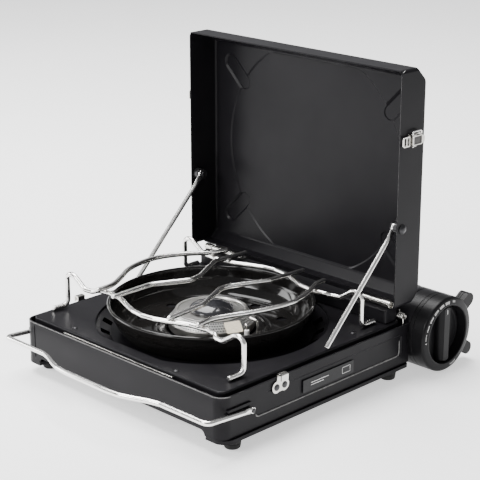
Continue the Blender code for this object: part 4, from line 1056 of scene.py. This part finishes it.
def catches():
    for end, side in SIDES:
        x0, x1 = CATCH_XS
        outline = circle(x0, CATCH_Z, 5.8, 20, 90, 300) + circle(x1, CATCH_Z, 5.8, 20, -120, 90)
        outline += [(80.2, 0.0), (70.8, 0.0)]
        plate = prism("catch_plate_" + end, outline, 'y', *sorted((side(-0.3), side(-1.5))))
        for x in CATCH_XS:
            drill(plate, x, CATCH_Z, RIVET_BORE, 24, side(-0.5) - 4, side(-0.5) + 4)
        hook = [(-0.3, -1.0), (-0.3, 3.6), (-0.7, 4.3), (-1.4, 4.6), (-5.6, 4.6), (-6.4, 4.2), (-6.8, 3.4),
                (-6.8, -1.6), (-5.6, -1.6), (-5.6, 2.8), (-5.2, 3.2), (-2.0, 3.2), (-1.6, 3.0), (-1.5, 2.6),
                (-1.5, -1.0)]
        add(plate, tool([(side(y), v) for y, v in hook], 'x', 70.9, 80.1))
        piece(bevel(plate, 0.25, 2, 50), "case", NICKEL, ["catch_" + end])
        heads = []
        for x in CATCH_XS:
            dome = [(0, 0.3), (1.9, 0.3), (1.9, -0.9), (3.3, -1.7), (3.2, -2.0), (2.2, -2.5), (0, -2.7)]
            heads.append(lathe("tool", [(r, side(v)) for r, v in dome], (x, 0, CATCH_Z), 'y', 24, ring=False))
        piece(merge("catch_rivets_" + end, heads), "case", DARK_STEEL)


def name_plate():
    x0, x1, y0, y1, z0, z1 = limits("name_plate")
    ob = prism("blank_plate", rounded(x0, x1, z0, z1, 0.8, 4), 'y', y0, y1)
    piece(bevel(ob, 0.22, 2), "case", GLOSS, ["name_plate"])
    rules = [tool(rounded(a0, a1, z - 0.35, z + 0.35, 0.3, 3), 'y', y0 - 0.04, y0 + 0.3)
             for a0, a1, z in ((x0 + 11.0, x0 + 36.0, z1 - 5.0), (x0 + 11.0, x0 + 29.0, z1 - 7.4))]
    frame_edge = tool(rounded(x1 - 17.0, x1 - 5.0, z0 + 3.0, z1 - 3.2, 0.6, 3), 'y', y0 - 0.04, y0 + 0.3)
    cut(frame_edge, tool(rounded(x1 - 16.5, x1 - 5.5, z0 + 3.5, z1 - 3.7, 0.4, 3), 'y', y0 - 1, y0 + 1))
    piece(merge("blank_plate_lines", rules + [frame_edge]), "case", PRINT)


def handle():
    pin = pivot("handle_swing")
    tilt = math.radians(4.6)

    def swing(u, y):
        return pin.x - u * math.cos(tilt), y, pin.z + u * math.sin(tilt)
    arm = ((3.0, 0.0), (7.0, 0.0), (11.0, 0.0), (57.0, 0.0), (57.0, 62.0), (60.5, 74.0), (67.0, 88.0), (72.0, 101.0),
           (74.0, 118.0))
    near = bent([swing(u, v - 3.6) for u, v in arm], 7.0, 8)
    path = near + [(x, back_side(y), z) for x, y, z in near[::-1]]
    flats = [(1.0, 1.0)] * len(path)
    for k, scale in enumerate(((0.5, 1.3), (0.62, 1.2), (1.0, 1.0))):
        flats[k] = flats[-1 - k] = scale
    bar = rod("carry_handle", path, 2.5, 28, flats, up=(0, 0, 1))
    for end, side in SIDES:
        y0, y1 = sorted((side(-2.35), side(-4.85)))
        eye = [(0, y0), (2.9, y0), (3.3, y0 + 0.4), (3.3, y1 - 0.4), (2.9, y1), (0, y1)]
        add(bar, lathe("tool", eye, (pin.x, 0, pin.z), 'y', 40, ring=False))
        drill(bar, pin.x, pin.z, RIVET_BORE, 24, side(-9.0), side(3.0))
        head = [(0, -5.9), (1.2, -5.85), (2.0, -5.6), (2.4, -5.3), (2.4, -5.2), (2.0, -5.2), (2.0, 2.3), (3.4, 2.3),
                (3.4, 3.2), (3.2, 3.4), (0, 3.4)]
        rivet = lathe("carry_handle_rivet_" + end, [(r, side(v)) for r, v in head], (pin.x, 0, pin.z), 'y', 32,
                      ring=False)
        piece(rivet, "case", DARK_STEEL, ["handle_rivet_" + end])
    piece(bar, "bail", WIRE, ["handle"], 50)


# ---------------------------------------------------------------- pot stand
FOOT_LEFT, FOOT_RIGHT = 48.3, 213.6
STAND_HALF, RAIL_Z, STAND_WIRE = 127.4, 30.5, 2.6
BAR_Z = RAIL_Z + 2 * STAND_WIRE + 0.3


def rails():
    for end, sign, foot in (("left", 1, FOOT_LEFT), ("right", -1, FOOT_RIGHT)):
        shape = [(STAND_HALF, 0.0, PLATE_Z + 3.0), (STAND_HALF, 0.0, 36.5), (121.4, 0.0, 40.2), (115.4, 0.0, 39.4),
                 (99.4, 0.0, 29.0), (89.4, 1.5, 28.8), (84.0, 5.5, RAIL_Z), (70.0, 8.0, RAIL_Z), (50.0, 5.0, RAIL_Z),
                 (30.0, -3.5, RAIL_Z), (15.0, -9.0, RAIL_Z), (0.0, -11.0, RAIL_Z)]
        front = [(foot + sign * dx, BOWL_Y - dy, z) for dy, dx, z in shape]
        back = [(x, 2 * BOWL_Y - y, z) for x, y, z in front[::-1]][1:]
        toes = [(foot - sign * 20.0, y, PLATE_Z + 3.0) for y in (BOWL_Y - STAND_HALF, BOWL_Y + STAND_HALF)]
        path = bent([toes[0]] + front + back + [toes[1]], 7.0, 6)
        piece(rod("stand_rail_" + end, path, STAND_WIRE, 24), "pot_stand", WIRE,
              ["trivet_rail_" + end], 60)


def bars():
    curved = {1: [(42, 221), (64, 222.5), (86, 234), (107, 246.5), (130, 253), (152, 253.5), (172, 247), (190, 236),
                  (206, 224), (224, 217)],
              4: [(46, 80), (68, 82.5), (86, 77.5), (106, 69.5), (131, 62), (157, 59), (180, 64.5), (200, 73),
                  (212, 78), (226, 79.5)]}
    straight = {2: [(40, 194.5), (92, 195.5), (131, 176.5), (146, 179), (188, 201), (233, 198)],
                3: [(40, 113), (89, 116.5), (135, 137.5), (146, 136), (184, 119), (234, 115)]}
    for k in (1, 2, 3, 4):
        if k in curved:
            path = smooth_path([(x, y, BAR_Z) for x, y in curved[k]], 5)
        else:
            path = bent([(x, y, BAR_Z) for x, y in straight[k]], 14.0, 8)
        piece(rod("stand_bar_%d" % k, path, STAND_WIRE, 24, soft_end=0.8), "pot_stand", WIRE,
              ["trivet_bar_%d" % k], 60)


for build in (case_wall, case_edge_highlights, inner_shields, bottom_pan, top_plate, plate_screws, dish, edge_strip, bowl, burner,
              burner_fittings, gas_side, housing, control_ring, control_scale, dial, feet, hinge_block, hinges, lid,
              stays, latches, catches, name_plate, handle, rails, bars):
    build()

# ---------------------------------------------------------------- stage, light and camera
floor_mesh = bpy.data.meshes.new("studio_floor")
floor_mesh.from_pydata([(-6, -6, 0), (6, -6, 0), (6, 6, 0), (-6, 6, 0)], [], [(0, 1, 2, 3)])
pale_floor = Paint("pale_floor", specular=0.1)
pale_floor.colour((1.5, 4), ((0.3, (0.82, 0.82, 0.82)), (0.7, (0.86, 0.86, 0.86))))
pale_floor.roughness((5, 4), 0.75, 0.85)
pale_floor.shader.inputs["Emission Color"].default_value = (1.0, 1.0, 1.0, 1.0)
pale_floor.shader.inputs["Emission Strength"].default_value = 0.85
floor_mesh.materials.append(pale_floor.mat)
floor = bpy.data.objects.new("studio_floor", floor_mesh)
floor.location.z = CAD_BOX[0].z - 0.0002
bpy.context.scene.collection.objects.link(floor)

world = bpy.data.worlds.new("studio")
world.use_nodes = True
world.node_tree.nodes["Background"].inputs["Color"].default_value = (0.97, 0.98, 1.0, 1.0)
world.node_tree.nodes["Background"].inputs["Strength"].default_value = 0.4
bpy.context.scene.world = world


def soft_light(name, place, target, width, height, power):
    data = bpy.data.lights.new(name, 'AREA')
    data.shape = 'RECTANGLE'
    data.size, data.size_y, data.energy = width, height, power
    ob = bpy.data.objects.new(name, data)
    ob.location = place
    ob.rotation_euler = (Vector(target) - Vector(place)).to_track_quat('-Z', 'Y').to_euler()
    bpy.context.scene.collection.objects.link(ob)


soft_light("overhead", (0.1, 0.6, 1.9), (0, 0, 0.05), 1.6, 1.4, 114)
soft_light("left_bank", (-0.95, 1.75, 0.65), (0, 0, 0.1), 0.9, 0.7, 26)
soft_light("step_key", (-1.7, 0.25, 1.0), (0.1, 0, 0.12), 0.6, 0.45, 24)

az, el = math.radians(-45.19), math.radians(18.24)
right = Vector((math.cos(az), math.sin(az), 0.0))
back = Vector((math.sin(az) * math.cos(el), -math.cos(az) * math.cos(el), math.sin(el)))
camera_data = bpy.data.cameras.new("camera")
camera_data.lens, camera_data.sensor_width, camera_data.clip_start = 112.746, 36.0, 0.05
camera = bpy.data.objects.new("camera", camera_data)
camera_turn = Matrix((right, back.cross(right), back)).transposed().to_4x4()
camera.matrix_world = Matrix.Translation(ORIGIN + Vector((-857.44, -875.03, 554.06)) / MM) @ camera_turn
bpy.context.scene.collection.objects.link(camera)
bpy.context.scene.camera = camera
